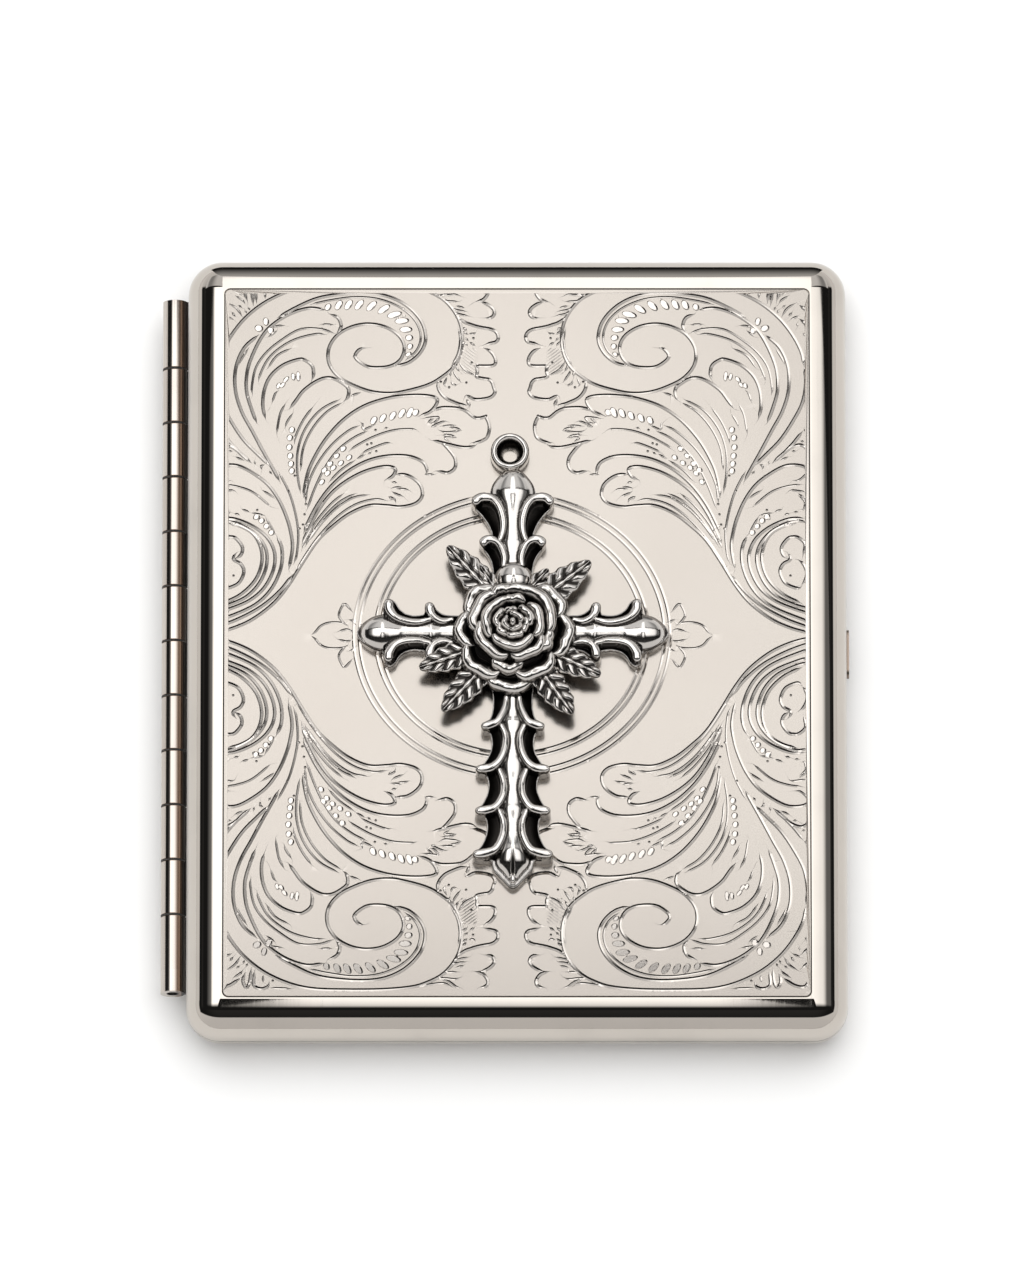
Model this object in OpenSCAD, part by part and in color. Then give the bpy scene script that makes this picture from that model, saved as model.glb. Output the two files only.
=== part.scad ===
// Flat hinged metal case for a rosary, with an engraved plate and a cross with a rose on its lid.
// The case lies on its base: Z is up, the hinge is at -X, the button at +X, and the cross's top
// points to +Y. The origin is the centre of the base's flat face.

/* [Case] */
// Width of the shut case over its walls, without the hinge
case_w = 80.1; // [70:0.1:100]
// Length of the case along the hinge
case_l = 98.2; // [92:0.1:130]
// Thickness of the shut case, without the cross
case_t = 9; // [8.9:0.1:16]
// Height of the parting line over the table
parting_h = 4.7; // [4.6:0.05:8]
// Radius of the rounded edge of each shell
rim_r = 4.2; // [4:0.05:4.25]
// Thickness of the stamped sheet
sheet_t = 0.5; // [0.4:0.05:0.6]
// Gap between the two shells at the parting line
seam_gap = 0.12; // [0.04:0.02:0.3]

/* [Plates] */
// Flat land between the rounded edge and the plate
land_w = 0.2; // [0.1:0.05:1]
// Thickness of the plate set in each shell
plate_t = 0.5; // [0.3:0.05:0.6]
// Corner radius of the plates
plate_corner_r = 0.8; // [0.4:0.1:3]
// Gap round a plate in its pocket
plate_gap = 0.05; // [0.02:0.01:0.15]

/* [Lining] */
// Thickness of the card that stiffens a lining
board_t = 0.4; // [0.35:0.05:0.6]
// Thickness of the velvet on its card
velvet_t = 0.4; // [0.2:0.05:0.6]
// Gap between the lining's edge and the start of the rounded wall
lining_inset = 0.85; // [0.5:0.05:4]
// Corner radius of the linings
lining_corner_r = 1.5; // [0.5:0.1:6]

/* [Hinge] */
// Diameter of the hinge barrel
barrel_d = 3; // [2.6:0.1:3.6]
// Length of the barrel
barrel_l = 87.4; // [70:0.2:90]
// How far the barrel's middle lies from the case's middle, towards the cross's top
barrel_shift = 0.5; // [-2:0.1:2]
// Number of knuckles, both leaves together
knuckle_count = 12; // [6:2:16]
// Length of the first knuckle, at the cross's top end
end_knuckle_l = 8.7; // [6:0.1:12]
// Length of each knuckle between the two end ones
knuckle_l = 6.9; // [3:0.1:7]
// Gap between neighbouring knuckles
knuckle_gap = 0.14; // [0.06:0.02:0.4]
// Gap between the barrel and the case's wall
barrel_gap = 0.1; // [0.05:0.05:1]
// Thickness of the hinge leaves
leaf_t = 0.4; // [0.3:0.05:0.5]
// How far each leaf follows the inside of the rounded wall, in degrees
leaf_sweep = 48; // [20:1:55]
// Diameter of the hinge pin
pin_d = 1.2; // [0.8:0.1:1.6]
// Radial play of the pin in the knuckles
pin_play = 0.05; // [0.02:0.01:0.1]
// How far the pin's ends are set back in the barrel
pin_setback = 1.2; // [0.4:0.1:3]

/* [Push button] */
// Length of the button along the wall
button_l = 6.1; // [4:0.1:10]
// Height of the button
button_h = 1.6; // [1.2:0.1:1.8]
// How far the button stands out of the wall
button_proud = 0.3; // [0.2:0.05:1.5]
// How far the button travels
button_travel = 0.7; // [0.6:0.05:0.8]
// Depth of the button's middle below the parting line
button_drop = 1.5; // [1.3:0.05:1.55]
// Gap round the button in its slot
button_gap = 0.1; // [0.05:0.01:0.15]
// How far the flange behind the wall reaches past the button
flange_lip = 0.4; // [0.2:0.05:0.5]
// Thickness of that flange
flange_t = 0.45; // [0.3:0.05:0.6]

/* [Latch] */
// Distance along the spring from its rivets to the button
spring_reach = 20; // [14:0.5:30]
// Thickness of the spring
spring_t = 0.3; // [0.2:0.05:0.4]
// Height of the spring
spring_h = 2.2; // [1.8:0.1:2.4]
// Gap on each side of the spring where it bends
spring_gap = 0.13; // [0.1:0.01:0.2]
// Thickness of the hook
hook_t = 0.4; // [0.3:0.05:0.5]
// Width of the hook along the wall
hook_w = 3; // [2:0.1:5]
// Gap between the hook's nose and the strike's lip when the button is pressed in
release_gap = 0.2; // [0.1:0.05:0.3]
// Gap between the nose and the lip when shut
hook_gap = 0.1; // [0.04:0.02:0.2]
// Gap between the hook's shank and the edge of the lip
shank_gap = 0.55; // [0.4:0.05:0.7]
// Width of the strike along the wall
strike_w = 5; // [4:0.1:9]
// Thickness of the strike
strike_t = 0.4; // [0.3:0.05:0.5]
// Height of the strike's lip over the parting line
strike_rise = 0.8; // [0.6:0.05:1.2]
// Distance between the two rivets of the spring
rivet_pitch = 2.4; // [2:0.1:4]
// Diameter of the spring's rivets
rivet_d = 0.8; // [0.6:0.05:1]
// Diameter of their heads
rivet_head_d = 1.6; // [1.4:0.1:2]
// Thickness of rivet heads
rivet_head_t = 0.3; // [0.2:0.05:0.34]

/* [Cross] */
// How far the cross stands off the case's middle, away from the hinge
cross_x = -0.5; // [-2:0.1:2]
// How far the cross's centre lies above the case's middle
cross_y = 0.6; // [-2:0.1:2]
// Reach of each side arm from the centre
side_reach = 19; // [18:0.1:24]
// Reach of the foot from the centre
foot_reach = 31.8; // [31:0.1:40]
// Reach of the top arm, without the bail
top_reach = 20.9; // [20:0.1:26]
// Thickness of the casting's ground
ground_t = 1; // [0.6:0.1:1.4]
// Height of the crescent leaves over the plate
crescent_h = 2; // [1.6:0.1:2.3]
// Height of the smooth spine over the plate
spine_h = 2.5; // [2.4:0.1:2.6]
// Half width of the spine
spine_half_w = 1.1; // [0.6:0.05:1.6]
// Radius of a crescent leaf
crescent_r = 2.4; // [1.8:0.1:2.8]
// Height of the boss that carries the rose
boss_h = 2.9; // [2.7:0.1:3.4]
// Radius of that boss
boss_r = 4; // [3:0.1:4.6]
// Radius of the ball above the rose
ball_r = 1.9; // [1.4:0.1:2]
// Distance of the ball from the centre
ball_y = 6.85; // [6.6:0.05:8]
// Outer radius of the bail eye
bail_r = 2.45; // [2:0.05:3]
// Radius of the wire that the bail is cast as
bail_wire_r = 0.72; // [0.5:0.02:0.9]
// Diameter of the cross's rivets
cross_rivet_d = 1; // [0.8:0.05:1.2]
// How deep those rivets reach into the casting
cross_rivet_depth = 1.6; // [1:0.1:2]
// Gap round a rivet in its hole
rivet_gap = 0.04; // [0.02:0.01:0.08]

/* [Rose] */
// Reach of the outer petals
rose_r = 7.6; // [7:0.1:9]
// How far the rose sits below the cross's centre
rose_drop = 0.8; // [0:0.1:1.5]
// Height of the rose from its back to its bud
rose_h = 3.4; // [3:0.1:5]
// Number of outer petals
outer_petals = 8; // [6:1:10]
// Number of middle petals
middle_petals = 6; // [5:1:8]
// Thickness of the leaf spray
spray_t = 0.5; // [0.4:0.05:0.8]
// Half width of a leaf
leaf_half_w = 1.5; // [1:0.05:2]

/* [Hidden] */

$fn = 96;
cut = 1;                                   // how far a cutting shape runs past the face it cuts
weld = 0.01;                               // overlap that joins two shapes of one solid
silver = [0.86, 0.83, 0.8];
satin = [0.85, 0.81, 0.77];
pewter = [0.5, 0.48, 0.46];
steel = [0.62, 0.62, 0.63];
wine = [0.3, 0.05, 0.09];
card = [0.35, 0.3, 0.26];

// Shells: the rounded edge starts at these distances from the middle
edge_x = case_w/2 - rim_r;
edge_y = case_l/2 - rim_r;
wall_r = rim_r - sheet_t;                  // inner radius of the rounded wall
deck_t = plate_t + sheet_t;                // plate pocket and the sheet behind it
base_wall_h = parting_h - seam_gap/2;
lid_wall_h = case_t - parting_h - seam_gap/2;
lid_round_z = case_t - rim_r;              // centre height of the lid's rounded edge
plate_w = 2*(edge_x - land_w);
plate_l = 2*(edge_y - land_w);
base_floor_z = deck_t;
lid_ceiling_z = case_t - deck_t;

// Hinge
barrel_r = barrel_d/2;
pin_r = pin_d/2;
hinge_x = -(case_w/2 + barrel_gap + barrel_r);
hinge_top_y = barrel_shift + barrel_l/2;
hinge_low_y = barrel_shift - barrel_l/2;
neck_gap = 0.03;                           // between a knuckle's neck and the parting line
notch_gap = 0.05;                          // round a neck in its notch
weld_gap = 0.02;                           // between a welded piece and the rounded wall

// Seams between the knuckles, from the top end down
function seam_y(i) =
    i == 0 ? hinge_top_y
    : i == knuckle_count ? hinge_low_y
    : hinge_top_y - end_knuckle_l - (i - 1)*knuckle_l;

// Button and latch
button_z = parting_h - button_drop;
button_face_x = case_w/2 + button_proud;
flange_low = rim_r - button_z + button_h/2 + flange_lip;
flange_x = edge_x + sqrt(pow(wall_r, 2) - pow(flange_low, 2)) - button_gap;
nub_l = 0.2;
nub_r = 0.8;
nub_gap = 0.05;
spring_x = flange_x - flange_t - nub_l - nub_gap - spring_t;   // inboard face of the spring
spring_end_l = 2.4;                        // spring past its rivets, and past the button
rivet_y = -spring_reach;
hook_x = spring_x - hook_t;
strike_z = parting_h + strike_rise;
nose_z = strike_z + strike_t + hook_gap;
nose_h = 0.6;
nose_edge_t = 0.15;
lip_x = hook_x + hook_t + shank_gap;       // inboard edge of the strike's lip
nose_x = lip_x + button_travel - release_gap;
lip_rise = strike_z + strike_t - case_t + rim_r;
lip_end_x = edge_x + sqrt(pow(wall_r - weld_gap, 2) - pow(lip_rise, 2)) - weld_gap;
bracket_t = 0.5;
bracket_x = spring_x - spring_gap - bracket_t;
bracket_foot_l = 1.7;
bracket_foot_t = 0.4;
bracket_w = rivet_pitch + rivet_head_d;

// Cross: each pair of crescents as distance from the centre and size, arm by arm
cross_z = case_t;
top_crescents = [[10.4, 0.86], [15.3, 1.12]];
side_crescents = [[9, 0.86], [13.8, 1]];
foot_crescents = [[10.2, 0.84], [15, 0.98], [20.5, 1.04], [26, 1.1]];
crescent_set = 0.6;                        // distance from the spine, in crescent radii
crescent_bite = 0.82;                      // radius of the bite out of it
crescent_shift = 0.42;                     // how far the bite lies out and back
crescent_bed = 0.1;                        // how far the ground shows round a crescent
bar_half_w = 1.5*spine_half_w;             // ground behind the spine
bud_l = 4.4;
bud_half_w = 2;
bud_root = 1.1;                            // how far a bud runs down its arm
bud_bed_root = 1.5;
bud_bed_half_w = 2.6;
bud_tip_gap = 0.2;
bail_y = top_reach + bail_r - 0.5;
ball_gap = 0.1;
ball_z = boss_h + spray_t - ball_gap - ball_r;
cross_rivet_ys = [16.5, -21];
rose_rivet_r = 0.6;
rose_rivet_top = 1.4;                      // how far the rivet reaches into the rose
spray_z = cross_z + boss_h;
rose_z = spray_z + spray_t;

// Petals of the rose and the discs behind them, as shares of its reach and of its height
outer_petal = [1, 0.38, 0.3];
middle_petal = [0.72, 0.3, 0.58];
middle_turn = 20;                          // turn of the middle petals against the outer ones
rose_discs = [[0.7, 0.3], [0.5, 0.72], [0.3, 0.88], [0.14, 1]];

// Leaf tips of the spray, seen from above, from the rose's centre
leaf_tips = [[-7.7, 10.1], [9.1, 8.2], [-11.1, -5], [-8.3, -10.1], [10.4, -5.8], [7, -10.5]];
spray_disc_r = 4.6;
leaf_root = 0.3;                           // where a leaf starts, as a share of its reach

// ---------- shared shapes ----------

// Extrudes an outline drawn as (x, z) along the case's length
module along_y(y0, y1) {
    translate([0, y1, 0]) rotate([90, 0, 0]) linear_extrude(y1 - y0) children();
}

// Extrudes an outline drawn as (y, z) across the case
module along_x(x0, x1) {
    translate([x0, 0, 0]) rotate([90, 0, 90]) linear_extrude(x1 - x0) children();
}

// Rectangle with round corners, centred
module rounded_rect(w, l, r) {
    square([w - 2*r, l], center = true);
    square([w, l - 2*r], center = true);
    for (sx = [-1, 1], sy = [-1, 1])
        translate([sx*(w/2 - r), sy*(l/2 - r)]) circle(r);
}

// Quarter disc that fills the lower right of its centre
module quarter_disc(r) {
    intersection() {
        circle(r);
        translate([0, -r]) square(r);
    }
}

// Section of a shell's wall: the deck's edge, the rounded edge and a short upright
module wall_section(h) {
    difference() {
        union() {
            translate([0, rim_r]) quarter_disc(rim_r);
            translate([0, rim_r - weld]) square([rim_r, h - rim_r + weld]);
        }
        intersection() {
            union() {
                translate([0, rim_r]) quarter_disc(wall_r);
                translate([0, rim_r - weld]) square([wall_r, h]);
            }
            translate([0, deck_t]) square([rim_r, h]);
        }
    }
}

// One stamped half, lying on its flat face, with the pocket for its plate
module half_shell(h) {
    difference() {
        union() {
            translate([-edge_x, -edge_y, 0]) cube([2*edge_x, 2*edge_y, deck_t]);
            for (s = [0, 1]) {
                mirror([s, 0, 0]) translate([edge_x, 0, 0]) along_y(-edge_y, edge_y) wall_section(h);
                mirror([0, s, 0]) translate([0, edge_y, 0]) along_x(-edge_x, edge_x) wall_section(h);
            }
            for (sx = [0, 1], sy = [0, 1])
                mirror([sx, 0, 0]) mirror([0, sy, 0]) translate([edge_x, edge_y, 0])
                    rotate_extrude(angle = 90) wall_section(h);
        }
        translate([0, 0, -cut]) linear_extrude(plate_t + cut)
            rounded_rect(plate_w + 2*plate_gap, plate_l + 2*plate_gap, plate_corner_r + plate_gap);
    }
}

// Turns a piece drawn for the base over, to hang from the lid's top
module hung_from_lid() {
    translate([0, 0, case_t]) mirror([0, 0, 1]) children();
}

// Card or velvet of a lining
module lining(t) {
    linear_extrude(t)
        rounded_rect(2*(edge_x - lining_inset), 2*(edge_y - lining_inset), lining_corner_r);
}

// Band that follows the inside of a rounded wall, as thick as t, over a sweep in degrees.
// It is drawn as (x, z) for the +X wall of the base, round the centre of the rounded edge.
module wall_band(t, sweep) {
    outer = wall_r - weld_gap;
    intersection() {
        difference() {
            circle(outer);
            circle(outer - t);
        }
        polygon([[0, 0], [2*rim_r, 0], [2*rim_r*cos(sweep), -2*rim_r*sin(sweep)]]);
    }
}

// ---------- hinge ----------

// Section of a leaf, and of its knuckle, from the pivot, for the -X wall of the base.
// round_z is the height of the rounded edge's centre over the pivot.
module leaf_section(round_z, knuckle) {
    inner_x = edge_x + wall_r - weld_gap;
    mirror([1, 0]) {
        translate([edge_x, round_z]) wall_band(leaf_t, leaf_sweep);
        translate([inner_x - leaf_t, round_z - weld]) square([leaf_t, weld - neck_gap - round_z]);
        if (knuckle) difference() {
            union() {
                translate([inner_x - leaf_t, -neck_gap - leaf_t])
                    square([-hinge_x - inner_x + leaf_t, leaf_t]);
                translate([-hinge_x, 0]) circle(barrel_r);
            }
            translate([-hinge_x, 0]) circle(pin_r + pin_play);
        }
    }
}

// Leaf with every second knuckle, starting with knuckle number first
module hinge_leaf(first, round_z) {
    along_y(hinge_low_y + knuckle_gap, hinge_top_y - knuckle_gap) leaf_section(round_z, false);
    for (i = [first : 2 : knuckle_count - 1])
        along_y(seam_y(i + 1) + knuckle_gap/2, seam_y(i) - knuckle_gap/2)
            leaf_section(round_z, true);
}

// Notches in the base wall's edge that let the necks of every second knuckle through
module neck_notches(first) {
    for (i = [first : 2 : knuckle_count - 1])
        translate([-case_w/2 - cut, seam_y(i + 1) + knuckle_gap/2 - notch_gap,
                   parting_h - neck_gap - leaf_t - notch_gap])
            cube([sheet_t + cut + notch_gap,
                  seam_y(i) - seam_y(i + 1) - knuckle_gap + 2*notch_gap, leaf_t + cut]);
}

// Turns a piece drawn below the parting line over, to lie above it
module above_parting() {
    translate([0, 0, 2*parting_h]) mirror([0, 0, 1]) children();
}

module hinge_base_leaf() {
    color(silver) translate([0, 0, parting_h]) hinge_leaf(1, rim_r - parting_h);
}

module hinge_lid_leaf() {
    color(silver) above_parting() translate([0, 0, parting_h])
        hinge_leaf(0, parting_h - lid_round_z);
}

module hinge_pin() {
    color(steel) translate([hinge_x, hinge_top_y - pin_setback, parting_h]) rotate([90, 0, 0])
        cylinder(r = pin_r, h = barrel_l - 2*pin_setback);
}

// ---------- base ----------

module base_shell() {
    color(silver) difference() {
        half_shell(base_wall_h);
        neck_notches(1);
        translate([0, 0, button_z]) along_x(case_w/2 - rim_r, case_w/2 + cut)
            button_outline(button_gap);
    }
}

module base_plate() {
    color(satin) linear_extrude(plate_t) rounded_rect(plate_w, plate_l, plate_corner_r);
}

module base_board() {
    color(card) translate([0, 0, base_floor_z]) lining(board_t);
}

module base_velvet() {
    color(wine) translate([0, 0, base_floor_z + board_t]) lining(velvet_t);
}

// ---------- button and latch ----------

// Oblong with round ends, drawn as (y, z) and grown by a margin
module button_outline(margin) {
    r = button_h/2 + margin;
    flat = button_l - button_h;
    square([flat, 2*r], center = true);
    for (s = [-1, 1]) translate([s*flat/2, 0]) circle(r);
}

module push_button() {
    color(silver) translate([0, 0, button_z]) {
        along_x(flange_x - weld, button_face_x) button_outline(0);
        along_x(flange_x - flange_t, flange_x) button_outline(flange_lip);
        translate([flange_x - flange_t - nub_l, 0, 0]) rotate([0, 90, 0])
            cylinder(r = nub_r, h = nub_l + weld);
    }
}

// Places what follows at each rivet of the spring, with its axis along X
module at_latch_rivets(x) {
    for (s = [-1, 1])
        translate([x, rivet_y + s*rivet_pitch/2, button_z]) rotate([0, 90, 0]) children();
}

module latch_spring() {
    color(steel) difference() {
        translate([spring_x, rivet_y - spring_end_l, button_z - spring_h/2])
            cube([spring_t, spring_reach + 2*spring_end_l, spring_h]);
        at_latch_rivets(spring_x - cut)
            cylinder(d = rivet_d + 2*spring_gap, h = spring_t + 2*cut);
    }
}

module latch_hook() {
    color(steel) along_y(-hook_w/2, hook_w/2) polygon([
        [hook_x, button_z - spring_h/2],
        [spring_x, button_z - spring_h/2],
        [spring_x, nose_z],
        [nose_x, nose_z],
        [nose_x, nose_z + nose_edge_t],
        [hook_x + hook_t/2, nose_z + nose_h],
        [hook_x, nose_z + nose_h]]);
}

module latch_bracket() {
    color(steel) difference() {
        translate([0, rivet_y, base_floor_z]) {
            translate([bracket_x + bracket_t - bracket_foot_l, -bracket_w/2, 0])
                cube([bracket_foot_l, bracket_w, bracket_foot_t]);
            translate([bracket_x, -bracket_w/2, 0])
                cube([bracket_t, bracket_w, button_z + spring_h/2 - base_floor_z]);
        }
        at_latch_rivets(bracket_x - cut)
            cylinder(d = rivet_d + 2*rivet_gap, h = bracket_t + 2*cut);
    }
}

module latch_rivets() {
    color(steel) {
        at_latch_rivets(bracket_x - weld)
            cylinder(d = rivet_d, h = bracket_t + spring_t + 2*(spring_gap + weld));
        at_latch_rivets(bracket_x - rivet_head_t) cylinder(d = rivet_head_d, h = rivet_head_t);
        at_latch_rivets(spring_x + spring_t + spring_gap)
            cylinder(d = rivet_head_d, h = rivet_head_t);
    }
}

module lid_strike() {
    color(steel) along_y(-strike_w/2, strike_w/2) {
        translate([edge_x, lid_round_z]) mirror([0, 1]) wall_band(strike_t, leaf_sweep);
        translate([lip_x, strike_z]) square([lip_end_x - lip_x, strike_t]);
    }
}

// ---------- lid ----------

// Holes for the cross's rivets through whatever lies between z0 and z1
module cross_rivet_holes(d, z0, z1) {
    for (y = cross_rivet_ys)
        translate([cross_x, cross_y + y, z0]) cylinder(d = d, h = z1 - z0);
}

module lid_shell() {
    color(silver) difference() {
        hung_from_lid() half_shell(lid_wall_h);
        above_parting() neck_notches(0);
        cross_rivet_holes(cross_rivet_d + 2*rivet_gap, lid_ceiling_z - cut, case_t + cut);
    }
}

module lid_plate() {
    color(satin) difference() {
        hung_from_lid() linear_extrude(plate_t) rounded_rect(plate_w, plate_l, plate_corner_r);
        cross_rivet_holes(cross_rivet_d + 2*rivet_gap, case_t - plate_t - cut, case_t + cut);
    }
}

module lid_board() {
    color(card) difference() {
        translate([0, 0, lid_ceiling_z - board_t]) lining(board_t);
        cross_rivet_holes(2*cross_rivet_d + 4*rivet_gap, lid_ceiling_z - board_t - cut,
                          lid_ceiling_z + cut);
    }
}

module lid_velvet() {
    color(wine) translate([0, 0, lid_ceiling_z - board_t - velvet_t]) lining(velvet_t);
}

// ---------- cross ----------

// Bud at the end of an arm, pointing along +Y from y0 to y1
module bud_outline(y0, y1, half_w) {
    l = y1 - y0;
    r = (pow(l/2, 2) + pow(half_w, 2))/(2*half_w);
    translate([0, (y0 + y1)/2]) intersection() {
        translate([r - half_w, 0]) circle(r);
        translate([half_w - r, 0]) circle(r);
    }
}

// Crescent leaf beside the spine: its horns point outwards and back to the rose
module crescent_outline(y, size) {
    r = crescent_r*size;
    translate([spine_half_w + crescent_set*r, y]) difference() {
        circle(r);
        translate([crescent_shift*r, -crescent_shift*r]) circle(crescent_bite*r);
    }
}

// Ground of one arm, along +Y: the disc behind each crescent and a bar behind the spine
module arm_ground(reach, crescents) {
    translate([-bar_half_w, 0]) square([2*bar_half_w, reach - bud_l/2]);
    for (c = crescents, s = [0, 1])
        mirror([s, 0]) translate([spine_half_w + crescent_set*crescent_r*c[1], c[0]])
            circle(crescent_r*c[1] + crescent_bed);
    bud_outline(reach - bud_l - bud_bed_root, reach, bud_bed_half_w);
}

// One arm of the casting, along +Y
module arm(reach, crescents) {
    linear_extrude(ground_t) arm_ground(reach, crescents);
    linear_extrude(crescent_h) for (c = crescents, s = [0, 1]) mirror([s, 0])
        crescent_outline(c[0], c[1]);
    linear_extrude(spine_h) {
        translate([-spine_half_w, 0]) square([2*spine_half_w, reach - bud_l]);
        bud_outline(reach - bud_l - bud_root, reach - bud_tip_gap, bud_half_w);
    }
}

// Places a piece at the cross's centre, on the plate
module on_cross(z) {
    translate([cross_x, cross_y, z]) children();
}

module cross() {
    color(pewter) difference() {
        on_cross(cross_z) {
            arm(top_reach, top_crescents);
            rotate(180) arm(foot_reach, foot_crescents);
            for (turn = [-90, 90]) rotate(turn) arm(side_reach, side_crescents);
            cylinder(r = boss_r, h = boss_h);
            intersection() {
                translate([0, ball_y, ball_z]) sphere(ball_r);
                cylinder(r = top_reach, h = boss_h + spray_t);
            }
            translate([0, bail_y, bail_wire_r]) rotate_extrude()
                translate([bail_r - bail_wire_r, 0]) circle(bail_wire_r);
        }
        cross_rivet_holes(cross_rivet_d + 2*rivet_gap, cross_z - cut, cross_z + cross_rivet_depth);
        on_cross(cross_z - cut) cylinder(r = rose_rivet_r + rivet_gap, h = boss_h + 2*cut);
    }
}

module cross_rivets() {
    color(steel) {
        cross_rivet_holes(cross_rivet_d, lid_ceiling_z - weld, cross_z + cross_rivet_depth - rivet_gap);
        cross_rivet_holes(2*cross_rivet_d, lid_ceiling_z - rivet_head_t, lid_ceiling_z);
    }
}

// One leaf of the spray, from the centre to its tip
module leaf_outline(tip) {
    reach = norm(tip);
    rotate(atan2(tip[1], tip[0]) - 90) bud_outline(reach*leaf_root, reach, leaf_half_w);
}

module rose_leaves() {
    color(pewter) difference() {
        on_cross(spray_z) linear_extrude(spray_t) {
            circle(spray_disc_r);
            for (tip = leaf_tips) leaf_outline(tip);
        }
        on_cross(spray_z - cut) cylinder(r = rose_rivet_r + rivet_gap, h = spray_t + 2*cut);
    }
}

// Ring of round petals, each given by its reach, radius and height as shares of the rose's
module petals(count, petal, turn) {
    petal_r = petal[1]*rose_r;
    for (i = [0 : count - 1])
        rotate(turn + i*360/count) translate([0, petal[0]*rose_r - petal_r, 0])
            cylinder(r = petal_r, h = petal[2]*rose_h);
}

module rose() {
    color(pewter) difference() {
        on_cross(rose_z) translate([0, -rose_drop, 0]) {
            petals(outer_petals, outer_petal, 0);
            petals(middle_petals, middle_petal, middle_turn);
            for (disc = rose_discs) cylinder(r = disc[0]*rose_r, h = disc[1]*rose_h);
        }
        on_cross(rose_z - cut) cylinder(r = rose_rivet_r + rivet_gap, h = rose_rivet_top + cut);
    }
}

module rose_rivet() {
    color(steel) on_cross(cross_z) {
        cylinder(r = rose_rivet_r, h = boss_h + spray_t + rose_rivet_top - rivet_gap);
    }
}

base_shell();
base_plate();
base_board();
base_velvet();
hinge_base_leaf();
hinge_pin();
latch_bracket();
latch_rivets();
push_button();
latch_spring();
latch_hook();
lid_shell();
lid_plate();
lid_board();
lid_velvet();
lid_strike();
hinge_lid_leaf();
cross();
cross_rivets();
rose_leaves();
rose();
rose_rivet();
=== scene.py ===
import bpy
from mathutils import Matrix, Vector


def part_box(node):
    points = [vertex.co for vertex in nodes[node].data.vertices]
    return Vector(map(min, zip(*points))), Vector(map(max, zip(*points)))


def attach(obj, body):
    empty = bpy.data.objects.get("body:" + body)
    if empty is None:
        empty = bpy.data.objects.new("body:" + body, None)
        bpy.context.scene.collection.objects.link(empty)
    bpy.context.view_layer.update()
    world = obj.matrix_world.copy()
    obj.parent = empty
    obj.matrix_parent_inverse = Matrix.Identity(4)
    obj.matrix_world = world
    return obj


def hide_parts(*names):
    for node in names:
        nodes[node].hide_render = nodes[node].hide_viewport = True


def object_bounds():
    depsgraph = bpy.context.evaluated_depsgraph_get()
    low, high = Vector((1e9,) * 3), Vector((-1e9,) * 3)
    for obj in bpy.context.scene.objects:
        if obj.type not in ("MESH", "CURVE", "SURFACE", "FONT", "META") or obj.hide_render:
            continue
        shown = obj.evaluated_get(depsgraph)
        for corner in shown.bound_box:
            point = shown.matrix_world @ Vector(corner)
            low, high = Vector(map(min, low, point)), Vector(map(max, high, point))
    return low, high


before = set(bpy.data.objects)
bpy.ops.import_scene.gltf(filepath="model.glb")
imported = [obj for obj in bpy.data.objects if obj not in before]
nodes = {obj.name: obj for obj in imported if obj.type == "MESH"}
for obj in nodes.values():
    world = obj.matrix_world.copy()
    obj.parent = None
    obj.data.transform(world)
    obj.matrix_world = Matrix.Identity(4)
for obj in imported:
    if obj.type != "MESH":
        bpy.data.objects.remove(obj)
cad_box = [list(corner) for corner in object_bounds()]

import math

import bpy
import numpy as np
from mathutils import Vector
from mathutils.geometry import delaunay_2d_cdt
from mathutils.kdtree import KDTree

scene = bpy.context.scene
MM = 0.001


# ---------- camera ----------
# The case is seen from almost straight above, from a little below the foot of the cross.
tilt = math.radians(16.0)
camera_distance = 2.95
aim = Vector((-0.0006, 0.0014, 0.0047))
frame_height = 0.15549         # height of the view at the aim, in metres
sensor = 36.0

camera_data = bpy.data.cameras.new("camera")
camera_data.sensor_fit = "VERTICAL"
camera_data.sensor_height = sensor
camera_data.lens = sensor*camera_distance/frame_height
camera_data.clip_end = 20
camera = bpy.data.objects.new("camera", camera_data)
camera.location = aim + camera_distance*Vector((0, -math.sin(tilt), math.cos(tilt)))
camera.rotation_euler = (tilt, 0, 0)
scene.collection.objects.link(camera)
scene.camera = camera
scene.view_settings.view_transform = "Standard"


# ---------- studio ----------
# A white paper sweep under a tent of lights: an overhead frame with two side panels, a back panel
# and a short front strip, each parted from the next by a dark batten. A shaded card behind the
# case gives the far rim its grey band; only reflections see it.
def new_material(name):
    material = bpy.data.materials.new(name)
    material.use_nodes = True
    return material, material.node_tree.nodes, material.node_tree.links


def add_node(nodes_, kind, **settings):
    node = nodes_.new(kind)
    for key, value in settings.items():
        setattr(node, key, value)
    return node


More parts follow.
